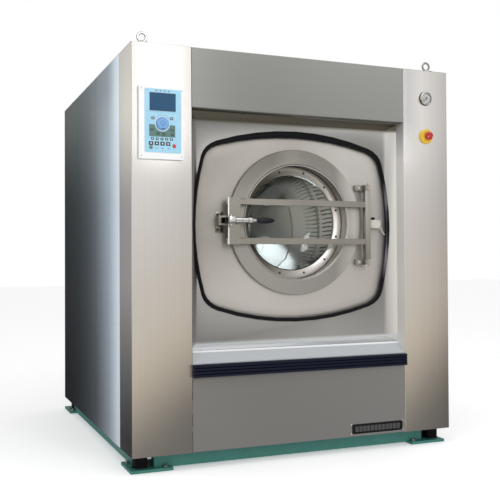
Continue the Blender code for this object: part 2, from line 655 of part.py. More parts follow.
def build_drum():
    """The perforated basket with its three lifters, and the back plate with the drive shaft."""
    axis = (AXIS_X, AXIS_Z)
    pivot = (AXIS_X, DRUM_BACK, AXIS_Z)
    wall = 0.003
    basket = [
        (DRUM_MOUTH, DRUM_FRONT + 0.012), (DRUM_MOUTH, DRUM_FRONT), (DRUM_RADIUS, DRUM_FRONT),
        (DRUM_RADIUS, DRUM_BACK), (DRUM_RADIUS - wall, DRUM_BACK), (DRUM_RADIUS - wall, DRUM_FRONT + wall),
        (DRUM_MOUTH + wall, DRUM_FRONT + wall), (DRUM_MOUTH + wall, DRUM_FRONT + 0.012),
    ]
    drum = turned("drum", basket, "Y", axis, 36, SATIN, pivot=pivot)
    lifters = []
    for k in range(3):
        angle = radians(90 + 120 * k)
        out, across = Vector((cos(angle), sin(angle))), Vector((-sin(angle), cos(angle)))
        corners = []
        for reach, width in ((0.5955, 0.070), (0.545, 0.034), (0.515, 0.016)):
            corners.append((reach, width))
        outline = [out * r + across * w for r, w in corners]
        outline += [out * r - across * w for r, w in reversed(corners)]
        outline = [(AXIS_X + p.x, AXIS_Z + p.y) for p in outline]
        span = (DRUM_FRONT + 0.001, DRUM_BACK - 0.001)
        lifters.append(extruded(f"lifter_{k}", outline, "Y", *span, SATIN, pivot=pivot))
    joined(drum, *lifters)

    back = DRUM_BACK + GAP
    shaft = [
        (0.0, back), (DRUM_RADIUS - 0.004, back), (DRUM_RADIUS - 0.004, back + 0.008), (0.130, back + 0.010),
        (0.110, TUB_BACK - 0.012), (SHAFT_RADIUS, TUB_BACK - 0.012), (SHAFT_RADIUS, HUB_END + 0.005),
        (0.045, HUB_END + 0.005), (0.045, PULLEY_BACK + 0.015), (0.0, PULLEY_BACK + 0.015),
    ]
    turned("drum_shaft", shaft, "Y", axis, 24, CAST, pivot=pivot)


def build_drive():
    """The drum pulley, the belt, the motor on the tub's cradle and the motor's shaft with its pulley."""
    axis, motor_axis = (AXIS_X, AXIS_Z), (AXIS_X, MOTOR_Z)
    middle = (PULLEY_FRONT + PULLEY_BACK) / 2
    pulley = [
        (0.0455, PULLEY_FRONT + 0.005), (0.080, PULLEY_FRONT + 0.005), (0.080, middle - 0.007),
        (0.330, middle - 0.007), (0.330, PULLEY_FRONT), (PULLEY_RADIUS, PULLEY_FRONT),
        (PULLEY_RADIUS, PULLEY_BACK), (0.330, PULLEY_BACK), (0.330, middle + 0.007), (0.080, middle + 0.007),
        (0.080, PULLEY_BACK - 0.005), (0.0455, PULLEY_BACK - 0.005),
    ]
    turned("drum_pulley", pulley, "Y", axis, 26, CAST, pivot=(AXIS_X, middle, AXIS_Z))

    def belt_loop(margin):
        reach = AXIS_Z - MOTOR_Z
        lean = asin((PULLEY_RADIUS - MOTOR_PULLEY_RADIUS) / reach)
        points = []
        for centre, radius, first, last, steps in (
            (AXIS_Z, PULLEY_RADIUS, -lean, pi + lean, 24),
            (MOTOR_Z, MOTOR_PULLEY_RADIUS, pi + lean, 2 * pi - lean, 12),
        ):
            for k in range(steps + 1):
                angle = first + (last - first) * k / steps
                reach_out = radius + margin
                points.append((AXIS_X + reach_out * cos(angle), centre + reach_out * sin(angle)))
        return points

    belt_inset = 0.008
    edge, far_edge = PULLEY_FRONT + belt_inset, PULLEY_BACK - belt_inset
    outer, inner = belt_loop(0.012), belt_loop(0.003)
    lofted("drive_belt", [(outer, edge), (outer, far_edge), (inner, far_edge), (inner, edge)],
           BLACK_RUBBER, smooth=False)

    shaft = 0.024
    body = [
        (0.0, 0.860), (0.100, 0.860), (MOTOR_RADIUS, 0.900), (MOTOR_RADIUS, 1.190), (0.090, 1.215),
        (shaft + 0.001, 1.215), (shaft + 0.001, 1.150), (0.0, 1.150),
    ]
    motor = turned("motor", body, "Y", motor_axis, 20, GREY_PAINT)
    cradle_low = AXIS_Z - TUB_RADIUS + 0.010 - 0.060
    joined(motor, block("motor_foot", (AXIS_X - 0.090, AXIS_X + 0.090), (0.905, 1.040),
                        (MOTOR_Z + 0.090, cradle_low - GAP), GREY_PAINT))
    wheel = [
        (0.0, 1.152), (shaft, 1.152), (shaft, PULLEY_FRONT), (MOTOR_PULLEY_RADIUS, PULLEY_FRONT),
        (MOTOR_PULLEY_RADIUS, PULLEY_BACK), (0.0, PULLEY_BACK),
    ]
    turned("motor_pulley", wheel, "Y", motor_axis, 20, CAST, pivot=(AXIS_X, middle, MOTOR_Z))


# ---------------------------------------------------------------- door
def build_door():
    """The round door: pressed ring, domed glass, clamp ring, gasket and the welded frame behind them."""
    axis = (AXIS_X, AXIS_Z)
    hinge = (HINGE_X, HINGE_Y, AXIS_Z)
    ring = [
        (RING_OUTER, RING_FACE_OUTER), (RING_OUTER - 0.002, RING_FACE_OUTER - 0.0025),
        (RING_INNER + 0.004, RING_FACE_INNER), (RING_INNER, RING_FACE_INNER + 0.003),
        (RING_INNER - 0.001, 0.160), (0.262, 0.160), (0.262, 0.164), (0.301, 0.164),
        (0.301, RING_FACE_INNER + 0.007), (RING_OUTER - 0.004, RING_FACE_OUTER + 0.004),
        (RING_OUTER - 0.004, 0.101), (RING_OUTER, 0.101),
    ]
    turned("door_ring", ring, "Y", axis, 48, SATIN, pivot=hinge)

    glass = [
        (0.0, 0.226), (0.120, 0.222), (0.195, 0.205), (0.228, 0.180), (0.246, 0.1545), (0.292, 0.1533),
        (0.292, 0.1597), (0.256, 0.1597), (0.236, 0.186), (0.201, 0.212), (0.123, 0.230), (0.0, 0.234),
    ]
    turned("door_glass", glass, "Y", axis, 40, GLASS, pivot=hinge)

    clamp = [(0.250, 0.1495), (0.253, 0.1475), (0.293, 0.1475), (0.293, 0.153), (0.250, 0.153)]
    turned("glass_clamp_ring", clamp, "Y", axis, 40, SATIN, pivot=hinge)

    gasket = [
        (0.322, 0.0915), (0.345, 0.0940), (0.345, 0.1010), (0.334, TUB_PLATE_FRONT - GAP), (0.322, 0.1010),
    ]
    turned("door_gasket", gasket, "Y", axis, 28, BLACK_RUBBER, pivot=hinge)

    half = TUBE / 2
    low, high = HINGE_LOW + HINGE_BLOCK + 0.001, HINGE_TOP - HINGE_BLOCK - 0.001
    tube_x = (HINGE_X - half, HINGE_X + half)
    tube_y = (HINGE_Y - half + 0.0005, HINGE_Y + half)
    frame = block("door_frame", tube_x, tube_y, (low, high), SATIN, hinge, 0.0013)
    left_edge = AXIS_X - 0.3965
    pieces = [
        block("upper_bar", (left_edge + 0.004, HINGE_X), (BAR_FRONT, BAR_BACK),
              (BAR_TOP_Z - BAR / 2, BAR_TOP_Z + BAR / 2), SATIN, hinge),
        block("lower_bar", (left_edge + 0.004, HINGE_X), (BAR_FRONT, BAR_BACK),
              (BAR_LOW_Z - BAR / 2, BAR_LOW_Z + BAR / 2), SATIN, hinge),
        block("latch_plate", (left_edge, left_edge + 0.066), (0.041, BAR_FRONT + 0.001), (1.000, 1.233),
              SATIN, hinge),
    ]
    for side in (-1, 1):
        for bar_z in (BAR_TOP_Z, BAR_LOW_Z):
            pad_x = AXIS_X + side * 0.322
            pad_z = (bar_z - 0.011, bar_z + 0.011)
            pieces.append(block(f"pad_{side}_{bar_z:.3f}", (pad_x - 0.014, pad_x + 0.014),
                                (BAR_BACK - 0.002, 0.0770), pad_z, SATIN, hinge))
    for name, start, end in (
        ("pin_low", HINGE_LOW + 0.004, low + 0.010), ("pin_high", high - 0.010, HINGE_TOP - 0.004),
    ):
        pin = [(0.0, start), (PIN_RADIUS, start), (PIN_RADIUS, end), (0.0, end)]
        pieces.append(turned(name, pin, "Z", (HINGE_X, HINGE_Y), 16, POLISHED, pivot=hinge))
    for z in (LATCH_Z + 0.0225, LATCH_Z - 0.0225):
        pieces.append(block(f"clevis_{z:.3f}", (LATCH_X - 0.007, LATCH_X + 0.010), (LATCH_Y - 0.008, 0.042),
                            (z - 0.0035, z + 0.0035), SATIN, hinge))
    joined(frame, *pieces)
    cut(frame, block("tongue_slot", (left_edge - 0.010, LATCH_X + 0.045), (0.036, 0.060),
                     (LATCH_Z - 0.0185, LATCH_Z + 0.0185), SATIN, hinge))

    outline = [
        (1.242, TUB_PLATE_FRONT - GAP), (1.242, 0.083), (HINGE_X - half, 0.079), (HINGE_X - half, 0.044),
        (HINGE_X + half + 0.002, 0.044), (HINGE_X + half + 0.002, TUB_PLATE_FRONT - GAP),
    ]
    for name, start in (("hinge_block_low", HINGE_LOW), ("hinge_block_high", HINGE_TOP - HINGE_BLOCK)):
        bracket = extruded(name, outline, "Z", start, start + HINGE_BLOCK, SATIN)
        bore = [(0.0, start - 0.01), (0.0, start + 0.04), (PIN_RADIUS + 0.0006, start + 0.04),
                (PIN_RADIUS + 0.0006, start - 0.01)]
        cut(bracket, turned(f"{name}_bore", bore, "Z", (HINGE_X, HINGE_Y), 16, SATIN))


def build_latch():
    """The latch lever with its grip, which turns on a clevis of the door frame, and its keeper on the tub."""
    pivot = (LATCH_X, LATCH_Y, LATCH_Z)
    lever = block("latch_lever", (LATCH_X - 0.016, LATCH_X + 0.018), (LATCH_Y - 0.016, LATCH_Y + 0.016),
                  (LATCH_Z - 0.0175, LATCH_Z + 0.0175), POLISHED, pivot, 0.002)
    rod_end, grip_start = 0.612, 0.640
    profile = [
        (0.0, LATCH_X + 0.010), (0.008, LATCH_X + 0.010), (0.008, rod_end - 0.010), (0.015, rod_end - 0.008),
        (0.015, rod_end), (0.010, rod_end + 0.003), (0.0070, grip_start - GAP), (0.0058, grip_start - GAP),
        (0.0058, grip_start + 0.030), (0.0, grip_start + 0.030),
    ]
    rod = turned("latch_rod", profile, "X", (LATCH_Y, LATCH_Z), 16, POLISHED, pivot=pivot)
    tongue = block("latch_tongue", (LATCH_X - 0.030, LATCH_X - 0.012), (LATCH_Y - 0.010, 0.074),
                   (LATCH_Z - 0.012, LATCH_Z + 0.012), POLISHED, pivot)
    joined(lever, rod, tongue)

    grip_end, fat = 0.742, 0.0155
    steps = 8
    profile = [(0.0063, grip_start)]
    for k in range(1, steps):
        t = k / steps
        swell = sin(pi * min(1.0, 0.12 + 0.88 * t)) ** 0.45
        profile.append((max(0.004, fat * swell), grip_start + (grip_end - grip_start) * t))
    profile += [(0.0, grip_end), (0.0, grip_start + 0.031), (0.0063, grip_start + 0.031)]
    turned("latch_grip", profile, "X", (LATCH_Y, LATCH_Z), 20, BLACK_PLASTIC, pivot=pivot)

    back = TUB_PLATE_FRONT - GAP
    keeper = block("latch_keeper", (0.452, 0.494), (back - 0.005, back), (1.060, 1.164), SATIN, bevel=0.001)
    jaws = [
        block("jaw_top", (0.454, 0.498), (0.056, back - 0.002), (LATCH_Z + 0.014, LATCH_Z + 0.024), SATIN),
        block("jaw_low", (0.454, 0.498), (0.056, back - 0.002), (LATCH_Z - 0.024, LATCH_Z - 0.014), SATIN),
        block("jaw_web", (0.454, 0.466), (0.057, back - 0.002), (LATCH_Z - 0.020, LATCH_Z + 0.020), SATIN),
    ]
    joined(keeper, *jaws)


def smooth_route(points, steps):
    """Points along a smooth curve through a route's own points, which leaves the first one along X."""
    points = [Vector(p) for p in points]
    ends = [points[0] - Vector((0.004, 0.0, 0.0))] + points + [points[-1] * 2 - points[-2]]
    curve = []
    for a, b, c, d in zip(ends, ends[1:], ends[2:], ends[3:]):
        for k in range(steps):
            t = k / steps
            curve.append(b + (c - a) * t / 2 + (a - b * 2.5 + c * 2 - d / 2) * t ** 2
                         + (b * 1.5 - c * 1.5 + d / 2 - a / 2) * t ** 3)
    return curve + [points[-1]]


def build_door_switch():
    """The door switch beside the hinge tube, and its lead, which runs to the edge of the tub plate."""
    back = TUB_PLATE_FRONT - GAP
    block("door_switch", (1.326, 1.389), (0.068, back), (1.091, 1.135), GREY_PAINT, bevel=0.002)
    route = smooth_route([
        (1.3893, 0.0880, 1.0990), (1.3940, 0.0880, 1.0985), (1.4020, 0.0890, 1.0910),
        (1.4110, 0.0915, 1.0760), (1.4210, 0.0955, 1.0650), (1.4300, 0.0980, 1.0570),
    ], 4)
    curve = bpy.data.curves.new("switch_lead", "CURVE")
    curve.dimensions = "3D"
    curve.bevel_depth = 0.0035
    curve.bevel_resolution = 2
    curve.use_fill_caps = True
    line = curve.splines.new("POLY")
    line.points.add(len(route) - 1)
    for point, place_at in zip(line.points, route):
        point.co = (*(WORLD + place_at), 1.0)
    curve.materials.append(GREY_PAINT)
    bpy.context.scene.collection.objects.link(bpy.data.objects.new("switch_lead", curve))


build_base()
build_chassis()
build_front_covers()
build_recess_panel()
build_sides_and_back()
build_lifting_eyes()
build_control_panel()
build_right_cover_fittings()
build_tub()
build_springs()
build_drum()
build_drive()
build_door()
build_latch()
build_door_switch()
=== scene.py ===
"""Looks for the industrial washer extractor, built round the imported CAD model.

Everything is in metres in the frame's own axes: +Z up, the front with the door faces -Y. Places
are measured from the boxes of the CAD nodes where they can be. Each piece rides on the CAD body
that it is fastened to.
"""

import json
from math import atan2, cos, pi, radians, sin

import bmesh
import bpy
from mathutils import Matrix, Vector

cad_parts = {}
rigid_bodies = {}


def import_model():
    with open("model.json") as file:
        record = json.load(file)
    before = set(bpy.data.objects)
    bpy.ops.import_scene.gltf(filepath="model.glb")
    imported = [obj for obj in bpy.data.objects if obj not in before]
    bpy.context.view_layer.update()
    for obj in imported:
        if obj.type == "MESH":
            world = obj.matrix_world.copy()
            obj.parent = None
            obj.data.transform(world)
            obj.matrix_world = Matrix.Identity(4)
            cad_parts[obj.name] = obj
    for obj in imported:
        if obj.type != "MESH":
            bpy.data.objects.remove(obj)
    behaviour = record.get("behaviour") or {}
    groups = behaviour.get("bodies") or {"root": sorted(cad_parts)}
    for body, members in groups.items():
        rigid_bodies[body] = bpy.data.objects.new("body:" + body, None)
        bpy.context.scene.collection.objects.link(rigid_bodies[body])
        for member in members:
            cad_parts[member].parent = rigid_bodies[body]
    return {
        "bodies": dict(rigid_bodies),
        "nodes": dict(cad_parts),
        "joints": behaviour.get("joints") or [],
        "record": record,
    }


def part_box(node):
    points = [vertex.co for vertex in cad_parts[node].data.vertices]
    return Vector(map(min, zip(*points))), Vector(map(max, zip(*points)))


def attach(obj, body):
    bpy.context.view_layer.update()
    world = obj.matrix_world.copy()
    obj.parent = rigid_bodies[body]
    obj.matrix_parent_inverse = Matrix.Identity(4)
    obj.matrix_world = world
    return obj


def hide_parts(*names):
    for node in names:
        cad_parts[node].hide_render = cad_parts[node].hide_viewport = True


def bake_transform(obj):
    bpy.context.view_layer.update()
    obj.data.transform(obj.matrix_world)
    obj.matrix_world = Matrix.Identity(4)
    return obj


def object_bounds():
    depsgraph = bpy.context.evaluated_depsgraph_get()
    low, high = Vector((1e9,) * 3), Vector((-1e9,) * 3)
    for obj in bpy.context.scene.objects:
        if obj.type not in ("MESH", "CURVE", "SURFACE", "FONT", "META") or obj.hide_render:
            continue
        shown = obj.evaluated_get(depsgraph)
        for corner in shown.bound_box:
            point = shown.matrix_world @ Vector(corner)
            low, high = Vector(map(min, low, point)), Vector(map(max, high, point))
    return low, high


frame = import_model()
cad_low, cad_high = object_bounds()
NODES = frame["nodes"]

FRONT, UP, RIGHT = Vector((0, -1, 0)), Vector((0, 0, 1)), Vector((1, 0, 0))
LIFT = 0.0003                 # how far a detail stands clear of the surface under it
CORNERS = [f"{end}_{side}" for end in ("front", "rear") for side in ("left", "right")]


def middle(node):
    low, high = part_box(node)
    return (low + high) / 2


DOOR_AXIS = middle("door_ring")        # the centre of the round door
DRUM_AXIS = middle("drum_shaft")
HINGE_LINE = middle("hinge_block_high")
HINGE_LINE.x, HINGE_LINE.y = HINGE_LINE.x + 0.0185, -0.877   # the hinge pin
LATCH_LINE = Vector((-0.3795, -0.917, 1.199))                # the latch lever's pivot
LATCH_PLATE_SET_BACK = 0.0290                                # behind the front of the door frame


# ---------------------------------------------------------------- shader helpers
class Nodes:
    """Short calls that add and join the nodes of one shader tree."""

    def __init__(self, tree):
        self.tree = tree

    def give(self, value, socket):
        """Links the value if it is a socket, and sets it as a constant if not."""
        if isinstance(value, bpy.types.NodeSocket):
            self.tree.links.new(value, socket)
        else:
            socket.default_value = value

    def node(self, kind, values=None, **settings):
        made = self.tree.nodes.new("ShaderNode" + kind)
        for key, value in settings.items():
            setattr(made, key, value)
        for key, value in (values or {}).items():
            self.give(value, made.inputs[key])
        return made

    def maths(self, operation, first, second=0.0, third=0.0):
        return self.node("Math", {0: first, 1: second, 2: third}, operation=operation).outputs[0]

    def ramp(self, factor, stops):
        """Colours by position, from (position, colour) stops, where one number is a grey."""
        made = self.node("ValToRGB", {0: factor})
        points = made.color_ramp.elements
        while len(points) < len(stops):
            points.new(1.0)
        for point, (where, colour) in zip(points, stops):
            point.position = where
            point.color = (colour, colour, colour, 1.0) if isinstance(colour, float) else (*colour, 1.0)
        return made.outputs["Color"]

    def between(self, factor, low, high, new_low=0.0, new_high=1.0):
        values = {"Value": factor, "From Min": low, "From Max": high, "To Min": new_low, "To Max": new_high}
        return self.node("MapRange", values).outputs["Result"]

    def mix(self, factor, first, second, blend="MIX"):
        made = self.node("Mix", data_type="RGBA", blend_type=blend)
        self.give(factor, made.inputs[0])
        for key, value in ((6, first), (7, second)):
            self.give(value if isinstance(value, bpy.types.NodeSocket) else (*value, 1.0), made.inputs[key])
        return made.outputs[2]


class Look(Nodes):
    """A procedural material."""

    def __init__(self, name, colour, roughness, metallic=0.0, **constants):
        self.material = bpy.data.materials.new(name)
        self.material.use_nodes = True
        super().__init__(self.material.node_tree)
        self.shader = self.tree.nodes["Principled BSDF"]
        self.set("Base Color", (*colour, 1.0))
        self.set("Roughness", roughness)
        self.set("Metallic", metallic)
        for socket, value in constants.items():
            self.set(socket.replace("_", " "), value)

    def set(self, socket, value):
        self.shader.inputs[socket].default_value = value

    def drive(self, socket, output):
        self.tree.links.new(output, self.shader.inputs[socket])

    def place(self):
        return self.node("TexCoord").outputs["Object"]

    def along(self, axis):
        return self.node("SeparateXYZ", {0: self.place()}).outputs[axis]

    def noise(self, stretch, detail=2.0, roughness=0.5, vector=None):
        """Noise in cells per metre, with one number or one for each axis."""
        stretch = (stretch,) * 3 if isinstance(stretch, float) else stretch
        source = vector or self.place()
        scaled = self.node("VectorMath", {0: source, 1: stretch}, operation="MULTIPLY").outputs[0]
        values = {"Vector": scaled, "Scale": 1.0, "Detail": detail, "Roughness": roughness}
        return self.node("TexNoise", values).outputs["Fac"]

    def bump(self, height, depth, strength=1.0):
        values = {"Height": height, "Distance": depth, "Strength": strength}
        self.drive("Normal", self.node("Bump", values).outputs["Normal"])
        return self


def shaded(colour, factor):
    return tuple(c * factor for c in colour)


def mixed_by_ramps(look, tone, *tone_ramps):
    """The tone with other colours mixed in, each where all of its (axis, start, end) ramps are up.

    The ramps stand in for the room's light and dark as they fall on the machine in the front view,
    and they stay on the surface from every other side.
    """
    for shade, *ramps in tone_ramps:
        factor = 1.0
        for axis, start, end in ramps:
            factor = look.maths("MULTIPLY", look.between(look.along(axis), start, end), factor)
        tone = look.mix(factor, tone, shade)
    return tone


def brushed(name, colour, grain, roughness, anisotropic=0.9, tone_ramps=(), relief=0.25, dull=None):
    """Brushed stainless sheet whose grain runs along "X", "Y" or "Z".

    Where dull is (axis, start, end, most), the roughness climbs to most between start and end.
    """
    look = Look(name, colour, roughness, 1.0, Anisotropic=anisotropic)
    look.set("Anisotropic Rotation", 0.0 if grain == "Z" else 0.25)
    look.drive("Tangent", look.node("Tangent", direction_type="RADIAL", axis="Z").outputs[0])
    fine, wide, lengthwise, stain = 900.0, 170.0, 3.0, 0.015
    lines = look.noise([lengthwise if axis == grain else fine for axis in "XYZ"], 3.0, 0.6)
    bands = look.noise([0.5 if axis == grain else wide for axis in "XYZ"], 3.0, 0.6)
    cloud = look.noise((2.2, 2.2, 1.6), 3.0, 0.55)
    light = tuple(min(1.0, c) for c in shaded(colour, 1 + stain))
    tone = look.mix(look.between(bands, 0.3, 0.7), shaded(colour, 1 - 2 * stain), light)
    tone = look.mix(look.between(cloud, 0.45, 0.75, 0.0, 0.5), tone, shaded(colour, 0.95))
    look.drive("Base Color", mixed_by_ramps(look, tone, *tone_ramps))
    rough = look.between(lines, 0.3, 0.7, roughness - 0.01, roughness + 0.02)
    if dull:
        axis, start, end, most = dull
        rough = look.maths("MAXIMUM", rough, look.between(look.along(axis), start, end, 0.0, most))
    look.drive("Roughness", rough)
    return look.bump(lines, 0.00002, relief)


def satin(name, colour, roughness, tone_ramps=()):
    """Fine bead-blasted or polished sheet with no grain direction, slightly smudged."""
    look = Look(name, colour, roughness, 1.0)
    fine = look.noise(350.0, 2.0, 0.6)
    cloud = look.noise(5.0, 4.0, 0.6)
    tone = look.mix(look.between(cloud, 0.35, 0.7), shaded(colour, 0.85), colour)
    look.drive("Base Color", mixed_by_ramps(look, tone, *tone_ramps))
    look.drive("Roughness", look.between(cloud, 0.3, 0.7, roughness - 0.05, roughness + 0.07))
    return look.bump(fine, 0.00004, 0.4)


def round_axis(look, axis_point):
    """A point's turn about an axis along Y (in whole turns), its radius and its depth."""
    apart = look.node("SeparateXYZ", {0: look.place()})
    across = look.maths("SUBTRACT", apart.outputs["X"], axis_point.x)
    upward = look.maths("SUBTRACT", apart.outputs["Z"], axis_point.z)
    turn = look.maths("DIVIDE", look.maths("ARCTAN2", upward, across), 2 * pi)
    square = look.maths("ADD", look.maths("MULTIPLY", across, across), look.maths("MULTIPLY", upward, upward))
    return turn, look.maths("SQRT", square), apart.outputs["Y"]


def turned_metal(name, colour, roughness, axis_point, tone_ramps=()):
    """Metal with circular tool marks round an axis along Y."""
    look = Look(name, colour, roughness, 1.0)
    _, radius, _ = round_axis(look, axis_point)
    rings = look.noise((650.0, 0.0, 0.0), 2.0, 0.6, look.node("CombineXYZ", {0: radius}).outputs[0])
    cloud = look.noise(7.0, 4.0, 0.6)
    tone = look.mix(look.between(cloud, 0.35, 0.7), shaded(colour, 0.80), colour)
    look.drive("Base Color", mixed_by_ramps(look, tone, *tone_ramps))
    look.drive("Roughness", look.between(rings, 0.3, 0.7, roughness - 0.05, roughness + 0.06))
    return look.bump(rings, 0.00006, 0.5)


def painted(name, colour, roughness, chip=None):
    """Machine paint with orange peel, faint dust and, where chip is a colour, worn spots."""
    look = Look(name, colour, roughness, Coat_Weight=0.15)
    peel = look.noise(260.0, 2.0, 0.5)
    dust = look.noise(14.0, 5.0, 0.65)
    dusty = tuple(min(1, c * 1.35 + 0.03) for c in colour)
    tone = look.mix(look.between(dust, 0.35, 0.75, 0.0, 0.35), colour, dusty)
    if chip:
        spots = look.noise((38.0, 38.0, 60.0), 6.0, 0.75)
        tone = look.mix(look.between(spots, 0.66, 0.70), tone, chip)
    look.drive("Base Color", tone)
    look.drive("Roughness", look.between(dust, 0.3, 0.7, roughness - 0.06, roughness + 0.12))
    return look.bump(peel, 0.00015, 0.4)


def moulded(name, colour, roughness, grain=900.0, depth=0.00004, mottle=0.86, tone_ramps=(), **constants):
    """Moulded plastic or rubber with a fine surface and slight colour variation."""
    look = Look(name, colour, roughness, **constants)
    fine = look.noise(grain, 2.0, 0.5)
    cloud = look.noise(40.0, 3.0, 0.6)
    tone = look.mix(look.between(cloud, 0.3, 0.7), shaded(colour, mottle), colour)
    look.drive("Base Color", mixed_by_ramps(look, tone, *tone_ramps))
    look.drive("Roughness", look.between(cloud, 0.3, 0.7, roughness - 0.04, roughness + 0.06))
    return look.bump(fine, depth, 0.5)


def dashes(look, across, along, width, length):
    """1 inside dashes laid in rows, where each whole step of a value holds one dash, and 0 between."""
    soft = 0.04

    def inside(value, size):
        far = look.maths("ABSOLUTE", look.maths("SUBTRACT", look.maths("FRACT", value), 0.5))
        return look.between(far, size / 2 - soft, size / 2 + soft, 1.0, 0.0)

    return look.maths("MULTIPLY", inside(across, width), inside(along, length))


def perforated(name, colour, roughness, axis_point, count, row):
    """Drum sheet with narrow slots along its axis: count of them round it, a row apart."""
    look = Look(name, colour, roughness, 0.55)
    turn, _, depth = round_axis(look, axis_point)
    around, along = look.maths("MULTIPLY", turn, float(count)), look.maths("DIVIDE", depth, row)
    slot = dashes(look, around, along, 0.30, 0.82)
    cloud = look.noise(6.0, 3.0, 0.6)
    sheet = look.mix(cloud, shaded(colour, 0.85), colour)
    look.drive("Base Color", look.mix(slot, sheet, (0.03, 0.024, 0.018)))
    look.drive("Roughness", look.between(slot, 0.0, 1.0, roughness, 0.9))
    return look.bump(look.maths("SUBTRACT", 1.0, slot), 0.0012, 0.8)


def slotted(name, colour, roughness, axis_point, smooth_to, slots_from, outer, count):
    """The drum's back plate: a smooth disc, then a plain band, then radial slots up to its rim."""
    look = Look(name, colour, roughness, 0.55)
    turn, radius, _ = round_axis(look, axis_point)
    reach = look.maths("DIVIDE", look.maths("SUBTRACT", radius, slots_from), outer - slots_from)
    slot = dashes(look, look.maths("MULTIPLY", turn, float(count)), reach, 0.26, 0.90)
    slot = look.maths("MULTIPLY", slot, look.between(radius, slots_from, outer, 0.45, 1.0))
    slot = look.maths("MULTIPLY", slot, look.between(radius, slots_from - 0.001, slots_from))
    cloud = look.noise(6.0, 3.0, 0.6)
    plain = look.mix(cloud, shaded(colour, 0.72), shaded(colour, 0.86))
    sheet = look.mix(look.between(radius, smooth_to, smooth_to + 0.004), plain, colour)
    look.drive("Base Color", look.mix(slot, sheet, (0.03, 0.028, 0.025)))
    look.drive("Roughness", look.between(slot, 0.0, 1.0, roughness, 0.8))
    return look.bump(look.maths("SUBTRACT", 1.0, slot), 0.0012, 0.6)


def glass(name, tint, roughness=0.03):
    look = Look(name, tint, roughness, Transmission_Weight=1.0, IOR=1.45, Specular_IOR_Level=0.12)
    smear = look.noise((9.0, 9.0, 3.0), 4.0, 0.6)
    look.drive("Roughness", look.between(smear, 0.45, 0.75, roughness, roughness + 0.05))
    return look


# ---------------------------------------------------------------- materials
LEFT_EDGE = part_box("left_pillar_cover")[0].x
RIGHT_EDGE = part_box("right_pillar_cover")[0].x
FRAME_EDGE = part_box("door_frame")[0].x
SILL_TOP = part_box("sill")[1].z
INTO_LEFT_RETURN = ("X", LEFT_EDGE + 0.003, LEFT_EDGE + 0.002)
INTO_RIGHT_RETURN = ("X", RIGHT_EDGE + 0.003, RIGHT_EDGE + 0.002)
LEFT_TO_RIGHT = ("X", -0.60, 0.60)
# Painted shade on the left pillar cover's inner return, darker towards the bottom.
STEEL_GRAIN_UP = brushed(
    "steel_grain_up", (0.68, 0.655, 0.63), "Z", 0.25, 0.97,
    tone_ramps=[((0.22, 0.21, 0.21), INTO_LEFT_RETURN, ("Z", 0.90, 0.15))])
# Painted highlight on the right pillar cover's inner return, and painted shade at the top of the cover near
# its left edge.
STEEL_RIGHT = brushed(
    "steel_grain_up_right", (0.68, 0.655, 0.63), "Z", 0.25, 0.97, dull=(*INTO_RIGHT_RETURN, 0.62),
    tone_ramps=[((1.0, 0.985, 0.96), INTO_RIGHT_RETURN),
           ((0.46, 0.455, 0.45), ("X", RIGHT_EDGE + 0.12, RIGHT_EDGE + 0.03), ("Z", 1.55, 1.75))])
STEEL_TOP = satin("steel_top", (0.62, 0.615, 0.60), 0.42)
STEEL_REAR = brushed("steel_rear", (0.74, 0.735, 0.72), "X", 0.45, 0.5)
# Painted light and shade across the hood: darker at the left, lighter at the right, against the lamps' light.
STEEL_GRAIN_ACROSS = brushed(
    "steel_grain_across", (0.27, 0.274, 0.257), "X", 0.40, tone_ramps=[((0.48, 0.488, 0.465), LEFT_TO_RIGHT)])
# Painted light and shade across the lower panel: darker at the left, lighter at the right, against the lamps'
# light.
STEEL_LOWER = brushed(
    "steel_lower", (0.24, 0.237, 0.227), "X", 0.42, tone_ramps=[((0.35, 0.346, 0.336), LEFT_TO_RIGHT)])
# Painted reflections and shade on the left side panels: lighter at the front, darker towards the rear, near
# black low at the rear, darker along the top and lighter at the top rear.
STEEL_LEFT = brushed(
    "steel_side_left", (0.95, 1.0, 1.0), "Y", 0.13, 0.88, relief=0.06,
    tone_ramps=[((0.48, 0.53, 0.57), ("Y", -0.66, -0.45)),
           ((0.28, 0.31, 0.32), ("Y", -0.45, 0.05)),
           ((0.008, 0.009, 0.011), ("Y", -0.62, -0.10), ("Z", 1.55, 0.22)),
           ((0.24, 0.26, 0.265), ("Y", -0.60, -0.40), ("Z", 1.45, 1.90)),
           ((0.50, 0.50, 0.47), ("Y", 0.10, 0.70), ("Z", 1.55, 1.86))])
STEEL_SIDE = brushed("steel_side", (0.70, 0.71, 0.72), "Y", 0.22, 0.80, relief=0.10)
# Painted light and shade on the recess panel: darker to the right, a painted highlight on the right reveal,
# painted shadow under the hood at the top and lighter along the bottom edge.
STEEL_RECESS = brushed(
    "steel_recess", (0.42, 0.415, 0.40), "X", 0.44, 0.5,
    tone_ramps=[((0.34, 0.335, 0.325), ("X", 0.20, 0.45)), ((0.80, 0.78, 0.75), ("X", 0.535, 0.60)),
           ((0.17, 0.155, 0.12), ("Z", 1.690, 1.705)), ((0.66, 0.68, 0.69), ("Z", 0.602, 0.590))])
# Painted light and shade on the tub's front plate: lighter towards the bottom, darker on the left, lighter at
# the upper right, and a purple-grey painted shade by the collar at the right.
STEEL_TUB = satin(
    "steel_tub", (0.54, 0.51, 0.475), 0.52,
    tone_ramps=[((0.70, 0.67, 0.635), ("Z", 1.45, 0.75)),
           ((0.38, 0.365, 0.33), ("X", -0.20, -0.52), ("Z", 0.75, 1.10)),
           ((0.66, 0.64, 0.61), ("X", 0.00, 0.30), ("Z", 1.20, 1.45)),
           ((0.46, 0.44, 0.47), ("X", 0.49, 0.55), ("Z", 1.45, 1.25))])
STEEL_INSIDE = satin("steel_inside", (0.62, 0.61, 0.58), 0.40)
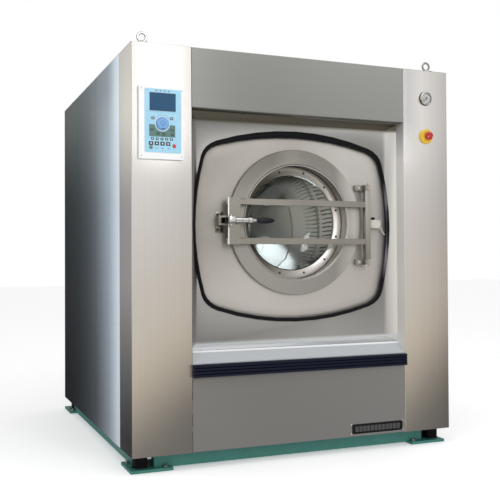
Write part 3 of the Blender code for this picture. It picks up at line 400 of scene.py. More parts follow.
# Painted shade at the upper left of the door ring, lighter towards the bottom, and a painted highlight on the
# right.
STEEL_RING = turned_metal(
    "steel_ring", (0.36, 0.345, 0.31), 0.56, DOOR_AXIS,
    tone_ramps=[((0.20, 0.19, 0.165), ("Y", -0.8635, -0.8590), ("X", DOOR_AXIS.x - 0.02, DOOR_AXIS.x - 0.14),
            ("Z", DOOR_AXIS.z + 0.05, DOOR_AXIS.z + 0.20)),
           ((0.47, 0.45, 0.42), ("Z", DOOR_AXIS.z + 0.36, DOOR_AXIS.z - 0.30)),
           ((0.78, 0.76, 0.72), ("X", DOOR_AXIS.x + 0.22, DOOR_AXIS.x + 0.34))])
# Painted shade and light on the glass clamp ring: dark at the left, light at the right.
STEEL_CLAMP = turned_metal(
    "steel_clamp", (0.14, 0.132, 0.11), 0.30, DOOR_AXIS,
    tone_ramps=[((0.80, 0.77, 0.73), ("X", DOOR_AXIS.x - 0.15, DOOR_AXIS.x + 0.26))])
# Painted light on the door frame: lighter towards the right, and a painted highlight along the frame's left
# edge.
STEEL_FRAME = satin(
    "steel_frame", (0.35, 0.335, 0.30), 0.36,
    tone_ramps=[((0.54, 0.52, 0.48), ("X", 0.395, 0.425)),
           ((1.0, 0.99, 0.96), ("X", FRAME_EDGE + 0.0060, FRAME_EDGE + 0.0045),
            ("X", FRAME_EDGE - 0.0010, FRAME_EDGE - 0.0001))])
CHROME = satin("chrome", (0.72, 0.71, 0.70), 0.12)
LATCH_CHROME = satin(
    "latch_chrome", (0.72, 0.71, 0.70), 0.14,
    tone_ramps=[((0.010, 0.010, 0.012), ("X", LATCH_LINE.x - 0.017, LATCH_LINE.x - 0.019))])
RUSTED = satin("rusted_bolts", (0.075, 0.062, 0.052), 0.40)
ZINC = satin("zinc", (0.45, 0.45, 0.44), 0.30)
DARK_STEEL = satin("dark_steel", (0.10, 0.09, 0.08), 0.45)
# Painted shade on the sill's lip: darker below its top face.
SILL_ALLOY = moulded(
    "sill_alloy", (0.92, 0.95, 0.97), 0.42, 500.0, 0.00002, 0.97,
    tone_ramps=[((0.50, 0.525, 0.545), ("Z", SILL_TOP - 0.006, SILL_TOP - 0.010))])
TEAL = painted("teal_paint", (0.030, 0.180, 0.150), 0.45, (0.26, 0.31, 0.29))
GREY_PAINT = painted("grey_paint", (0.22, 0.23, 0.24), 0.48)
LIGHT_PAINT = painted("light_grey_paint", (0.50, 0.50, 0.44), 0.42)
WHITE = painted("white_enamel", (0.86, 0.865, 0.865), 0.30)
CAST_IRON = painted("cast_iron", (0.10, 0.10, 0.105), 0.62)
DRUM_BACK = slotted("drum_back", (0.60, 0.585, 0.53), 0.36, DRUM_AXIS, 0.400, 0.490, 0.597, 130)
NAVY = moulded("navy_rubber", (0.006, 0.008, 0.022), 0.50, 500.0, 0.00008, Specular_IOR_Level=0.15)
BLACK_RUBBER = moulded("black_rubber", (0.004, 0.004, 0.005), 0.55, 500.0, 0.0001, Specular_IOR_Level=0.12)
# Painted light on the right part of the rubber collar: grey where the rubber is black.
COLLAR = moulded(
    "collar_rubber", (0.004, 0.004, 0.006), 0.55, 500.0, 0.0001, Specular_IOR_Level=0.15,
    tone_ramps=[((0.20, 0.19, 0.215), ("X", 0.559, 0.551), ("X", 0.30, 0.40),
            ("Z", 0.90, 1.00), ("Z", 1.42, 1.32))])
BLACK_GLOSS = moulded("black_gloss", (0.006, 0.006, 0.008), 0.20, 300.0, 0.00001, Specular_IOR_Level=0.30)
FILM_BLUE = moulded("keypad_film", (0.34, 0.64, 0.82), 0.34)
FILM_GREEN = moulded("keypad_green", (0.085, 0.185, 0.165), 0.36)
FILM_WHITE = moulded("keypad_white", (0.80, 0.86, 0.90), 0.36)
FILM_DARK = moulded("keypad_dark", (0.020, 0.035, 0.045), 0.36)
SCREEN = moulded("screen", (0.012, 0.075, 0.165), 0.34, 1200.0, 0.00001, Specular_IOR_Level=0.2)
DIAL_BLUE = moulded("dial_blue", (0.10, 0.30, 0.62), 0.22, 600.0, 0.00002)
START_GREEN = moulded("start_green", (0.10, 0.22, 0.19), 0.35)
RED = moulded("red_plastic", (0.55, 0.025, 0.020), 0.28, 600.0, 0.00002)
YELLOW = moulded("yellow_plastic", (0.85, 0.55, 0.05), 0.32, 600.0, 0.00002)
DIAL_WHITE = moulded("gauge_white", (0.75, 0.75, 0.73), 0.45)
FILM_RULE = moulded("keypad_rule", (0.22, 0.45, 0.62), 0.36)
KEY_GREEN = moulded("programme_key", (0.030, 0.085, 0.075), 0.36)
MARK_GREY = moulded("printed_marks", (0.13, 0.22, 0.28), 0.40)
TILE_GREY = moulded("nameplate_tile", (0.055, 0.055, 0.058), 0.40)
DIAL_LIGHT = moulded("dial_cap", (0.17, 0.38, 0.64), 0.25, 600.0, 0.00002)
RED_DARK = moulded("red_dark", (0.30, 0.012, 0.010), 0.30, 600.0, 0.00002)
CHROME_SOFT = satin("chrome_soft", (0.66, 0.65, 0.62), 0.22)
GLASS = glass("door_glass", (0.90, 0.95, 0.93))
LENS = glass("gauge_lens", (1.0, 1.0, 1.0), 0.02)
DRUM_STEEL = perforated("drum_sheet", (0.62, 0.60, 0.55), 0.34, DRUM_AXIS, 130, 0.22)


# ---------------------------------------------------------------- CAD nodes
WELD_DISTANCE = 0.00001
SHARPEST_SMOOTH = radians(34)   # an edge that turns further than this stays sharp


def smoothing_group():
    """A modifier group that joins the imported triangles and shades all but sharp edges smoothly."""
    group = bpy.data.node_groups.new("smooth_cad", "GeometryNodeTree")
    group.interface.new_socket("Geometry", in_out="INPUT", socket_type="NodeSocketGeometry")
    group.interface.new_socket("Geometry", in_out="OUTPUT", socket_type="NodeSocketGeometry")
    add, join = group.nodes.new, group.links.new
    start, end = add("NodeGroupInput"), add("NodeGroupOutput")
    weld = add("GeometryNodeMergeByDistance")
    weld.inputs["Distance"].default_value = WELD_DISTANCE
    angle, sharp = add("GeometryNodeInputMeshEdgeAngle"), add("FunctionNodeCompare")
    sharp.operation = "GREATER_THAN"
    sharp.inputs["B"].default_value = SHARPEST_SMOOTH
    normal = add("GeometryNodeSetMeshNormal")
    normal.mode = "SHARPNESS"
    join(start.outputs[0], weld.inputs["Geometry"])
    join(weld.outputs["Geometry"], normal.inputs["Mesh"])
    join(angle.outputs["Unsigned Angle"], sharp.inputs["A"])
    join(sharp.outputs["Result"], normal.inputs["Edge Sharpness"])
    normal.inputs["Remove Custom"].default_value = True
    normal.inputs["Face Sharpness"].default_value = False
    join(normal.outputs["Mesh"], end.inputs[0])
    return group


NODE_LOOKS = (
    (STEEL_GRAIN_UP, ("left_pillar_cover",)),
    (STEEL_RIGHT, ("right_pillar_cover",)),
    (STEEL_GRAIN_ACROSS, ("hood_panel",)),
    (STEEL_TOP, ("top_panel",)),
    (STEEL_REAR, ("rear_panel",)),
    (STEEL_LOWER, ("lower_panel",)),
    (STEEL_LEFT, [f"left_side_panel_{p}" for p in ("front", "middle", "rear")]),
    (STEEL_SIDE, [f"right_side_panel_{p}" for p in ("front", "middle", "rear")]),
    (STEEL_RECESS, ("recess_panel",)),
    (STEEL_TUB, ("tub_front_plate",)),
    (STEEL_INSIDE, ("tub_shell",)),
    (STEEL_RING, ("door_ring",)),
    (STEEL_CLAMP, ("glass_clamp_ring",)),
    (STEEL_FRAME, ("door_frame", "hinge_block_low", "hinge_block_high", "latch_keeper")),
    (LATCH_CHROME, ("latch_lever",)),
    (CHROME, ("gauge_case",)),
    (ZINC, [f"lifting_eye_{corner}" for corner in CORNERS]),
    (SILL_ALLOY, ("sill",)),
    (TEAL, ("base_frame",)),
    (GREY_PAINT, ("chassis", "motor")),
    (LIGHT_PAINT, ("door_switch", "switch_lead")),
    (WHITE, ("control_housing",)),
    (CAST_IRON, ["drum_pulley", "motor_pulley"] + [f"spring_{corner}" for corner in CORNERS]),
    (NAVY, ("bumper_strip",)),
    (COLLAR, ("rubber_collar",)),
    (BLACK_RUBBER, ["door_gasket", "drive_belt"] + [f"isolator_{corner}" for corner in CORNERS]),
    (BLACK_GLOSS, ("nameplate", "gauge_needle", "latch_grip")),
    (FILM_BLUE, ("keypad",)),
    (DIAL_BLUE, ("dial",)),
    (START_GREEN, ("start_key",)),
    (RED, ("stop_key", "estop_button")),
    (YELLOW, ("estop_collar",)),
    (GLASS, ("door_glass",)),
    (DRUM_STEEL, ("drum",)),
    (DRUM_BACK, ("drum_shaft",)),
)


def dress_nodes():
    group = smoothing_group()
    for look, names in NODE_LOOKS:
        for name in names:
            node = NODES[name]
            node.data.materials.clear()
            node.data.materials.append(look.material)
            node.modifiers.new("smooth", "NODES").node_group = group


# ---------------------------------------------------------------- detail pieces
class Piece:
    """One object made of turned shapes, plates and tubes, all in world metres."""

    def __init__(self):
        self.shape = bmesh.new()

    def turned(self, profile, place, direction, steps=20):
        """A (radius, distance) profile turned round the direction. It closes where the radius is 0."""
        direction = Vector(direction).normalized()
        side = direction.orthogonal().normalized()
        other = direction.cross(side)
        loops = []
        for radius, along in profile:
            centre = Vector(place) + direction * along
            if radius == 0:
                loops.append([self.shape.verts.new(centre)])
                continue
            angles = [2 * pi * (k + 0.5) / steps for k in range(steps)]
            rim = [centre + (side * cos(a) + other * sin(a)) * radius for a in angles]
            loops.append([self.shape.verts.new(point) for point in rim])
        for first, second in zip(loops, loops[1:]):
            for k in range(steps):
                n = (k + 1) % steps
                around = ((first, k), (first, n), (second, n), (second, k))
                corners = list(dict.fromkeys(loop[j % len(loop)] for loop, j in around))
                if len(corners) > 2:
                    self.shape.faces.new(corners)
        return self

    def ring(self, inner, outer, height, place, direction, steps=32):
        """A flat ring whose back lies at the place."""
        edge = min(height, outer - inner) * 0.3
        profile = [
            (inner, 0.0), (outer, 0.0), (outer, height - edge), (outer - edge, height),
            (inner + edge, height), (inner, height - edge), (inner, 0.0),
        ]
        return self.turned(profile, place, direction, steps)

    def bolt(self, place, direction, radius, height=None):
        """A hexagon head on a washer."""
        height = height or radius * 0.7
        thin, wide = radius * 0.2, radius * 1.45
        self.turned([(0, 0), (wide, 0), (wide, thin), (0, thin)], place, direction, 18)
        base = Vector(place) + Vector(direction).normalized() * (thin + LIFT / 3)
        profile = [(0, 0), (radius, 0), (radius, height * 0.8), (radius * 0.82, height), (0, height)]
        return self.turned(profile, base, direction, 6)

    def screw(self, place, direction, radius):
        """A domed head with a recess in its middle."""
        profile = [(0, 0), (radius, 0), (radius * 0.95, radius * 0.22), (radius * 0.62, radius * 0.42),
                   (radius * 0.34, radius * 0.46), (radius * 0.28, radius * 0.16), (0, radius * 0.16)]
        return self.turned(profile, place, direction, 14)

    def plate(self, outline, y, thick):
        """An (x, z) outline made into a plate whose back face is at y and whose front faces -Y."""
        back = [self.shape.verts.new((x, y, z)) for x, z in outline]
        front = [self.shape.verts.new((x, y - thick, z)) for x, z in outline]
        self.shape.faces.new(back)
        self.shape.faces.new(front)
        for k in range(len(back)):
            n = (k + 1) % len(back)
            self.shape.faces.new((back[k], back[n], front[n], front[k]))
        return self

    def tile(self, x, z, width, height, y, thick, corner=0.0):
        """A rounded rectangle centred on (x, z)."""
        return self.plate(rounded(x, z, width, height, corner), y, thick)

    def bar(self, low, high, bevel=0.0):
        made = bmesh.ops.create_cube(self.shape, size=1.0)["verts"]
        low, high = Vector(low), Vector(high)
        for vert in made:
            vert.co = Vector([high[i] if vert.co[i] > 0 else low[i] for i in range(3)])
        if bevel:
            edges = list({edge for vert in made for edge in vert.link_edges})
            bmesh.ops.bevel(self.shape, geom=edges, offset=bevel, segments=2, affect="EDGES", profile=0.5)
        return self

    def finish(self, name, look, body="casing", angle=32):
        """Ends the piece: it becomes an object that rides on the body."""
        bmesh.ops.recalc_face_normals(self.shape, faces=self.shape.faces)
        mesh = bpy.data.meshes.new(name)
        self.shape.to_mesh(mesh)
        self.shape.free()
        mesh.shade_smooth()
        mesh.set_sharp_from_angle(angle=radians(angle))
        mesh.materials.append(look.material)
        made = bpy.data.objects.new(name, mesh)
        bpy.context.scene.collection.objects.link(made)
        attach(made, body)
        return made


def rounded(x, z, width, height, corner, steps=4):
    """The (x, z) outline of a rectangle with rounded corners."""
    if not corner:
        w, h = width / 2, height / 2
        return [(x - w, z - h), (x + w, z - h), (x + w, z + h), (x - w, z + h)]
    points = []
    for side, up, first in ((1, 1, 0), (-1, 1, 90), (-1, -1, 180), (1, -1, 270)):
        centre = (x + side * (width / 2 - corner), z + up * (height / 2 - corner))
        for k in range(steps + 1):
            angle = radians(first + 90 * k / steps)
            points.append((centre[0] + corner * cos(angle), centre[1] + corner * sin(angle)))
    return points


def inset_corners(low, high, across, up):
    """The four (x, z) corners of a box seen from the front, moved inwards."""
    return [(x, z) for x in (low.x + across, high.x - across) for z in (low.z + up, high.z - up)]


def round_places(centre, radius, count, first=0):
    """(x, z) places spaced evenly round a centre, from the first angle in degrees."""
    angles = [radians(first + 360 * k / count) for k in range(count)]
    return [(centre.x + radius * cos(a), centre.z + radius * sin(a)) for a in angles]


def dress_keypad():
    """The printed film: screen, rule, knob ring, green zone, keys and the small blank marks."""
    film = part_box("keypad")[0]
    face = film.y - LIFT
    thin, key_height = 0.0002, 0.0005
    second_layer, on_keys = face - thin - LIFT, face - key_height - LIFT

    def at(x, z):
        """A place in millimetres from the film's lower left corner."""
        return film.x + x / 1000, film.z + z / 1000

    Piece().tile(*at(87, 239), 0.128, 0.086, face, thin, 0.002).finish("screen_bezel", FILM_DARK)
    Piece().tile(*at(87, 239), 0.121, 0.078, second_layer, 0.0001, 0.001).finish("screen", SCREEN)
    Piece().tile(*at(89, 192), 0.172, 0.0012, face, thin).finish("keypad_rule", FILM_RULE)

    dial = middle("dial")
    Piece().ring(0.0322, 0.0362, thin, (dial.x, face, dial.z), FRONT, 40).finish(
        "dial_surround", FILM_WHITE)

    # The green zone: a rectangle whose top edge dips round the dial in an arc.
    (left, bottom), (right, top) = at(21, 74), at(148, 131)
    reach, steps = 0.0375, 20
    first = atan2(top - dial.z, (reach ** 2 - (top - dial.z) ** 2) ** 0.5)
    outline = [(left, bottom), (right, bottom), (right, top)]
    for k in range(steps + 1):
        angle = first - (pi + 2 * first) * k / steps
        outline.append((dial.x + reach * cos(angle), dial.z + reach * sin(angle)))
    outline.append((left, top))
    Piece().plate(outline, face, thin).finish("green_zone", FILM_GREEN, "casing", 60)

    dark, light, green_keys, marks = (Piece() for _ in range(4))
    for x, z in ((34, 106), (134, 108), (63, 88), (92, 86), (134, 86)):
        green_keys.tile(*at(x, z), 0.017, 0.012, second_layer, 0.0004, 0.002)
    green_keys.finish("programme_keys", KEY_GREEN)
    beside_dial = ((39, 161), (131, 163))
    for x, z in beside_dial:
        dark.tile(*at(x, z), 0.014, 0.012, face, key_height, 0.001)
    for k in range(5):
        dark.tile(*at(37 + 23 * k, 64), 0.014, 0.011, face, key_height, 0.001)
    for k in range(4):
        wide_key, wide_height = at(30 + 27.7 * k, 42), 0.0004
        dark.tile(*wide_key, 0.021, 0.018, face, wide_height, 0.001)
        light.tile(*wide_key, 0.006, 0.007, face - wide_height - LIFT, 0.0004, 0.001)
    dark.finish("function_keys", FILM_DARK)
    for k in range(4):
        marks.tile(*at(57 + 20 * k, 291), 0.007, 0.006, face, thin)
    for k in range(3):
        marks.tile(*at(57 + 29 * k, 20), 0.010, 0.003, face, thin)
    for k in range(7):
        angle = radians(35 + 110 * k / 6)
        marks.tile(dial.x + 0.042 * cos(angle), dial.z + 0.042 * sin(angle), 0.0022, 0.0022, face, thin)
    marks.finish("keypad_marks", MARK_GREY)
    for k in range(5):
        light.tile(*at(37 + 23 * k, 64), 0.005, 0.004, on_keys, thin)
    for x, z in beside_dial:
        light.tile(*at(x, z), 0.005, 0.005, on_keys, thin)
    light.finish("key_marks", FILM_WHITE)

    knob_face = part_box("dial")[0].y
    Piece().tile(dial.x, dial.z - 0.024, 0.016, 0.004, knob_face - LIFT / 2, 0.0004, 0.0015).finish(
        "dial_mark", FILM_DARK, "rotary_dial")
    cap = [(0, 0), (0.010, 0), (0.0075, 0.0016), (0, 0.0022)]
    Piece().turned(cap, (dial.x, knob_face + 0.0016, dial.z), FRONT, 24).finish(
        "dial_cap", DIAL_LIGHT, "rotary_dial")

    low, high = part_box("control_housing")
    screws = Piece()
    for x, z in inset_corners(low, high, 0.012, 0.014):
        screws.screw((x, low.y - LIFT / 2, z), FRONT, 0.0028)
    screws.finish("housing_screws", ZINC)


def dress_gauge():
    """The gauge's face, ticks and lens inside its case, and a flange behind it."""
    gauge = middle("gauge_case")
    low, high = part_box("gauge_case")

    def from_front(depth):
        return gauge.x, low.y + depth, gauge.z

    Piece().turned([(0, 0), (0.0292, 0), (0.0292, 0.0004), (0, 0.0004)],
                   from_front(0.0087), FRONT, 40).finish("gauge_face", DIAL_WHITE)
    ticks = Piece()
    count, sweep, tick_end = 28, 270, 0.026
    for k in range(count):
        angle = radians(225 - sweep * k / (count - 1))
        start, half = (0.0205, 0.0006) if k % 3 == 0 else (0.0232, 0.0003)
        along = Vector((cos(angle), 0.0, sin(angle)))
        across = Vector((-sin(angle), 0.0, cos(angle))) * half
        corners = [along * start + across, along * start - across,
                   along * tick_end - across, along * tick_end + across]
        ticks.plate([(gauge.x + p.x, gauge.z + p.z) for p in corners], low.y + 0.0081, 0.0001)
    ticks.ring(0.0272, 0.0284, 0.0002, from_front(0.0082), FRONT, 40)
    ticks.finish("gauge_ticks", BLACK_GLOSS)
    Piece().turned([(0, 0), (0.0305, 0), (0.0305, 0.0012), (0, 0.0016)],
                   from_front(0.0024), FRONT, 40).finish("gauge_lens", LENS)
    Piece().ring(0.0362, 0.0385, 0.0030, (gauge.x, high.y - LIFT, gauge.z), FRONT, 40).finish(
        "gauge_flange", DARK_STEEL)


def dress_emergency_stop():
    """A ring and three arcs on the face of the emergency stop's head."""
    stop = middle("estop_button")
    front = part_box("estop_button")[0].y
    Piece().ring(0.0100, 0.0135, 0.0008, (stop.x, front + 0.0010, stop.z), FRONT, 28).finish(
        "estop_ring", RED_DARK, "emergency_stop")
    arrows = Piece()
    inner, outer, half = 0.0155, 0.0168, 18
    for k in range(3):
        points = []
        for reach, swing in ((inner, -half), (outer, -half), (outer, half), (inner, half)):
            angle = radians(90 + 120 * k + swing)
            points.append((stop.x + reach * cos(angle), stop.z + reach * sin(angle)))
        arrows.plate(points, front + 0.0022, 0.0014)
    arrows.finish("estop_marks", FILM_WHITE, "emergency_stop")


def dress_nameplate():
    """A row of blank tiles in place of the plate's lettering, and the plate's rivets."""
    low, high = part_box("nameplate")
    tiles = Piece()
    count, side, margin = 12, 0.019, 0.016
    for k in range(count):
        at = low.x + margin + (high.x - low.x - 2 * margin) * (k + 0.5) / count
        tiles.tile(at, (low.z + high.z) / 2, side, side * 1.5, low.y - LIFT / 2, 0.0003, 0.002)
    tiles.finish("nameplate_tiles", TILE_GREY)
    rivets = Piece()
    for x, z in inset_corners(low, high, -0.0045, 0.001):
        rivets.screw((x, high.y - 0.0002, z), FRONT, 0.0044)
    rivets.finish("nameplate_rivets", CHROME)


def dress_door():
    """Clamp ring screws, the ring's inner trim, weld beads on the frame and latch plate screws."""
    screws = Piece()
    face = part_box("glass_clamp_ring")[0].y - LIFT / 2
    for x, z in round_places(DOOR_AXIS, 0.2715, 12, 15):
        screws.screw((x, face, z), FRONT, 0.0062)
    screws.finish("clamp_ring_screws", DARK_STEEL, "door")

    ring_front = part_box("door_ring")[0].y
    Piece().ring(0.2925, 0.2968, 0.0035, (DOOR_AXIS.x, ring_front + 0.0045, DOOR_AXIS.z), FRONT, 64).finish(
        "ring_inner_trim", CHROME_SOFT, "door")

    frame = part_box("door_frame")[0]
    welds = Piece()
    bead, bar_half = 0.0026, 0.0158 * 0.86
    for bar_z in (DOOR_AXIS.z + 0.098, DOOR_AXIS.z - 0.100):
        for up in (bar_half, -bar_half):
            welds.turned([(0, 0), (bead, 0.001), (bead, 0.030), (0, 0.031)],
                         (frame.x + 0.0672, -0.8892, bar_z + up), RIGHT, 10)
    welds.finish("frame_welds", STEEL_FRAME, "door")
    plate_screws = Piece()
    for x in (frame.x + 0.009, frame.x + 0.055):
        for z in (DOOR_AXIS.z - 0.106, DOOR_AXIS.z + 0.105):
            plate_screws.screw((x, frame.y + LATCH_PLATE_SET_BACK, z), FRONT, 0.0036)
    plate_screws.finish("latch_plate_screws", ZINC, "door")


def dress_hinges():
    """Bolts through the hinge blocks, and the end caps of the hinge pin."""
    bolts = Piece()
    cap = [(0, 0), (0.0125, 0), (0.0125, 0.0025), (0.0095, 0.0028), (0.0095, 0.0085), (0.006, 0.0105),
           (0, 0.0105)]
    for name, up in (("hinge_block_high", 1), ("hinge_block_low", -1)):
        low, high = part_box(name)
        bolts.bolt((low.x + 0.0195, low.y + 0.0366, (low.z + high.z) / 2), FRONT, 0.0068, 0.0070)
        end = high.z if up > 0 else low.z
        bolts.turned(cap, (HINGE_LINE.x, HINGE_LINE.y, end + up * LIFT), (0, 0, up), 6)
    bolts.finish("hinge_bolts", CHROME, "tub")


def dress_latch():
    """Keeper bolts, the roller in the keeper, the pivot pin's heads and the lever's collars."""
    low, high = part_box("latch_keeper")
    plate_thick = 0.005
    bolts = Piece()
    for x in (low.x + 0.011, low.x + 0.033):
        for z in (low.z + 0.014, high.z - 0.014):
            bolts.bolt((x, high.y - plate_thick - LIFT / 2, z), FRONT, 0.0052, 0.0042)
    bolts.finish("keeper_bolts", RUSTED, "tub")
    half = 0.0132
    Piece().bar((low.x + 0.015, high.y - 0.026, LATCH_LINE.z - half),
                (low.x + 0.040, high.y - 0.0056, LATCH_LINE.z + half), 0.003).finish(
        "keeper_roller", STEEL_FRAME, "tub")
    heads = Piece()
    for up in (1, -1):
        heads.turned([(0, 0), (0.0062, 0), (0.0062, 0.0030), (0.0045, 0.0045), (0, 0.0048)],
                     LATCH_LINE + UP * up * (0.0262 + LIFT), UP * up, 18)
    heads.finish("latch_pin_heads", CHROME, "door")
    collars = Piece()
    bore, edge = 0.0082, 0.0006
    for start, length, radius in ((0.020, 0.034, 0.0142), (0.0545, 0.034, 0.0132), (0.0890, 0.016, 0.0168)):
        collars.turned([(bore, 0), (radius, edge), (radius, length - edge), (bore, length), (bore, 0)],
                       LATCH_LINE + RIGHT * start, RIGHT, 24)
    collars.finish("latch_rod_collars", CHROME, "latch")


def dress_switch():
    """The door switch's cover screws, its black plunger and the gland on its lead."""
    low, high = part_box("door_switch")
    screws = Piece()
    for x, z in inset_corners(low, high, 0.008, 0.008):
        screws.screw((x, low.y - LIFT / 2, z), FRONT, 0.0030)
    screws.finish("switch_screws", ZINC, "tub")
    plunger = [(0, 0), (0.0075, 0), (0.0075, 0.006), (0.0105, 0.0065), (0.0105, 0.0125), (0.008, 0.0145),
               (0, 0.0145)]
    place = ((low.x + high.x) / 2 - 0.006, (low.y + high.y) / 2, high.z + LIFT)
    Piece().turned(plunger, place, UP, 20).finish("switch_plunger", BLACK_GLOSS, "tub")
    bore, nut, neck = 0.0041, 0.0088, 0.0068
    gland = [(bore, 0), (nut, 0), (nut, 0.005), (neck, 0.0060), (neck, 0.0100), (bore, 0.0110), (bore, 0)]
    Piece().turned(gland, (high.x + LIFT, -0.8490, 1.1788), RIGHT, 6).finish(
        "switch_gland", BLACK_GLOSS, "tub")


def dress_base():
    """Anchor bolts on the foot plates, isolator nuts and the studs under the casing."""
    low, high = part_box("base_frame")
    foot_thick, beam_top = 0.014, 0.070
    bolts = Piece()
    for side, x_edge in ((1, low.x), (-1, high.x)):
        for end, y_edge in ((1, low.y), (-1, high.y)):
            for across, along in ((0.178, 0.030), (0.178, 0.176), (0.024, 0.176)):
                place = (x_edge + side * across, y_edge + end * along, low.z + foot_thick + LIFT / 2)
                bolts.bolt(place, UP, 0.0105, 0.0085)
    bolts.finish("anchor_bolts", ZINC)
    nuts = Piece()
    for corner in CORNERS:
        iso_low, iso_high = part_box(f"isolator_{corner}")
        for x in (iso_low.x - 0.008, iso_high.x + 0.008):
            nuts.bolt((x, (iso_low.y + iso_high.y) / 2, iso_low.z - LIFT / 2), UP, 0.0050, 0.0050)
    nuts.finish("isolator_nuts", DARK_STEEL)
    studs = Piece()
    count, beyond, radius, height = 9, 0.10, 0.0042, 0.0094
    panel_low, panel_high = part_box("lower_panel")
    for k in range(count):
        x = panel_low.x - beyond + (panel_high.x - panel_low.x + 2 * beyond) * k / (count - 1)
        studs.turned([(0, 0), (radius, 0), (radius, height), (0, height)],
                     (x, low.y + 0.066, beam_top + LIFT), UP, 10)
    studs.finish("casing_studs", ZINC)


def dress_drum():
    """Rolled seams on the drum's wall, and a hub cap and swages on its back plate."""
    low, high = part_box("drum")
    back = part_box("drum_shaft")[0].y
    seams = Piece()
    for y in (low.y + 0.012, (low.y + high.y) / 2, high.y - 0.012):
        seams.ring(0.5915, 0.5962, 0.010, (DRUM_AXIS.x, y, DRUM_AXIS.z), (0, 1, 0), 64)
    seams.finish("drum_seams", STEEL_INSIDE, "drum_unit")
    hub = Piece()
    hub.turned([(0, 0), (0.115, 0), (0.115, 0.004), (0.095, 0.016), (0.040, 0.024), (0, 0.025)],
               (DRUM_AXIS.x, back - LIFT, DRUM_AXIS.z), FRONT, 40)
    for x, z in round_places(DRUM_AXIS, 0.078, 6):
        hub.bolt((x, back - 0.018, z), FRONT, 0.009)
    hub.finish("drum_hub_cap", STEEL_INSIDE, "drum_unit")
    rings = Piece()
    for radius, width in ((0.215, 0.005), (0.397, 0.007), (0.588, 0.006)):
        rings.ring(radius, radius + width, 0.0030, (DRUM_AXIS.x, back - LIFT, DRUM_AXIS.z), FRONT, 96)
    rings.finish("drum_back_swages", STEEL_INSIDE, "drum_unit")


def dress_rear():
    """Flange bolts, cooling louvres, a blank rating plate and screws on the rear panel."""
    low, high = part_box("rear_panel")
    back = high.y - 0.046         # the sheet itself, since the panel's box ends at the flanges
    rearward = (0, 1, 0)
    bolts = Piece()
    flanges = ((0.420, 1.720, 0.046), (0.640, 1.720, 0.046), (0.860, 1.720, 0.037), (0.420, 0.340, 0.074))
    for across, up, bolt_circle in flanges:
        for x, z in round_places(Vector((low.x + across, 0, up)), bolt_circle, 4, 45):
            bolts.bolt((x, high.y + LIFT / 2, z), rearward, 0.0055, 0.0045)
    bolts.finish("flange_bolts", ZINC)
    slats = Piece()
    for k in range(9):
        z = 0.30 + 0.035 * k
        slats.bar((0.20, back + LIFT, z), (0.60, back + 0.010, z + 0.012), 0.003)
    slats.finish("motor_louvres", GREY_PAINT)
    Piece().bar((0.30, back + LIFT, 1.20), (0.46, back + 0.0015, 1.30), 0.0005).finish(
        "rating_plate", ZINC)
    lines = Piece()
    for k in range(5):
        z = 1.215 + 0.016 * k
        lines.bar((0.315, back + 0.0018, z), (0.445, back + 0.0021, z + 0.004))
    lines.finish("rating_plate_blanks", DARK_STEEL)
    screws = Piece()
    edge, radius = 0.012, 0.0055
    for k in range(7):
        for x in (low.x + edge, high.x - edge):
            screws.screw((x, back + LIFT / 2, 0.14 + 0.30 * k), rearward, radius)
    for k in range(1, 6):
        for z in (0.092, high.z - edge):
            screws.screw((low.x + (high.x - low.x) * k / 6, back + LIFT / 2, z), rearward, radius)
    screws.finish("rear_panel_screws", ZINC)


def dress_top():
    """Two rows of screws on the top panel."""
    low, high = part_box("top_panel")
    screws = Piece()
    count, end_gap, side_gap = 8, 0.20, 0.016
    for k in range(count):
        y = low.y + end_gap + (high.y - low.y - 2 * end_gap) * k / (count - 1)
        for x in (low.x + side_gap, high.x - side_gap):
            screws.screw((x, y, high.z + LIFT / 2), UP, 0.0050)
    screws.finish("top_panel_screws", ZINC)


def dress_side_joints():
    """Black seals in the joints between the side panels."""
    low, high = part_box("rear_panel")
    seals = Piece()
    for side, inward, x in (("left", 1, low.x), ("right", -1, high.x)):
        for name in ("front", "middle"):
            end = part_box(f"{side}_side_panel_{name}")[1].y
            seals.bar((x + inward * 0.004, end + 0.0004, 0.0815), (x + inward * 0.018, end + 0.0026, 2.024))
    seals.finish("panel_joint_seals", BLACK_RUBBER)


def dress_eyes():
    """A collar under each lifting eye."""
    collars = Piece()
    for corner in CORNERS:
        low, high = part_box(f"lifting_eye_{corner}")
        collars.ring(0.0392, 0.0440, 0.0022, ((low.x + high.x) / 2, (low.y + high.y) / 2, low.z), UP, 28)
    collars.finish("eye_washers", ZINC)


def stretch_springs():
    """Copies of the springs, left fixed in the world, shown in place of the hidden CAD springs."""
    for corner in CORNERS:
        node = NODES[f"spring_{corner}"]
        coil = bpy.data.objects.new(f"coil_{corner}", node.data.copy())
        bpy.context.scene.collection.objects.link(coil)
        coil.modifiers.new("smooth", "NODES").node_group = node.modifiers["smooth"].node_group
        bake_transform(coil)
        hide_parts(node.name)


def build_details():
    stretch_springs()
    dress_keypad()
    dress_gauge()
    dress_emergency_stop()
    dress_nameplate()
    dress_door()
    dress_hinges()
    dress_latch()
    dress_switch()
    dress_base()
    dress_drum()
    dress_rear()
    dress_top()
    dress_side_joints()
    dress_eyes()


# ---------------------------------------------------------------- stage
def hang_light(name, light, place, target, power, colour):
    """Puts the light into the scene, aimed at the target."""
    light.energy = power
    light.color = colour
    holder = bpy.data.objects.new(name, light)
    holder.location = place
    holder.rotation_euler = (Vector(target) - Vector(place)).to_track_quat("-Z", "Y").to_euler()
    holder.visible_camera = False
    bpy.context.scene.collection.objects.link(holder)
    return holder


def area_light(name, place, target, width, height, power):
    light = bpy.data.lights.new(name, "AREA")
    light.shape = "RECTANGLE"
    light.size, light.size_y = width, height
    hang_light(name, light, place, target, power, (1.0, 1.0, 1.0))


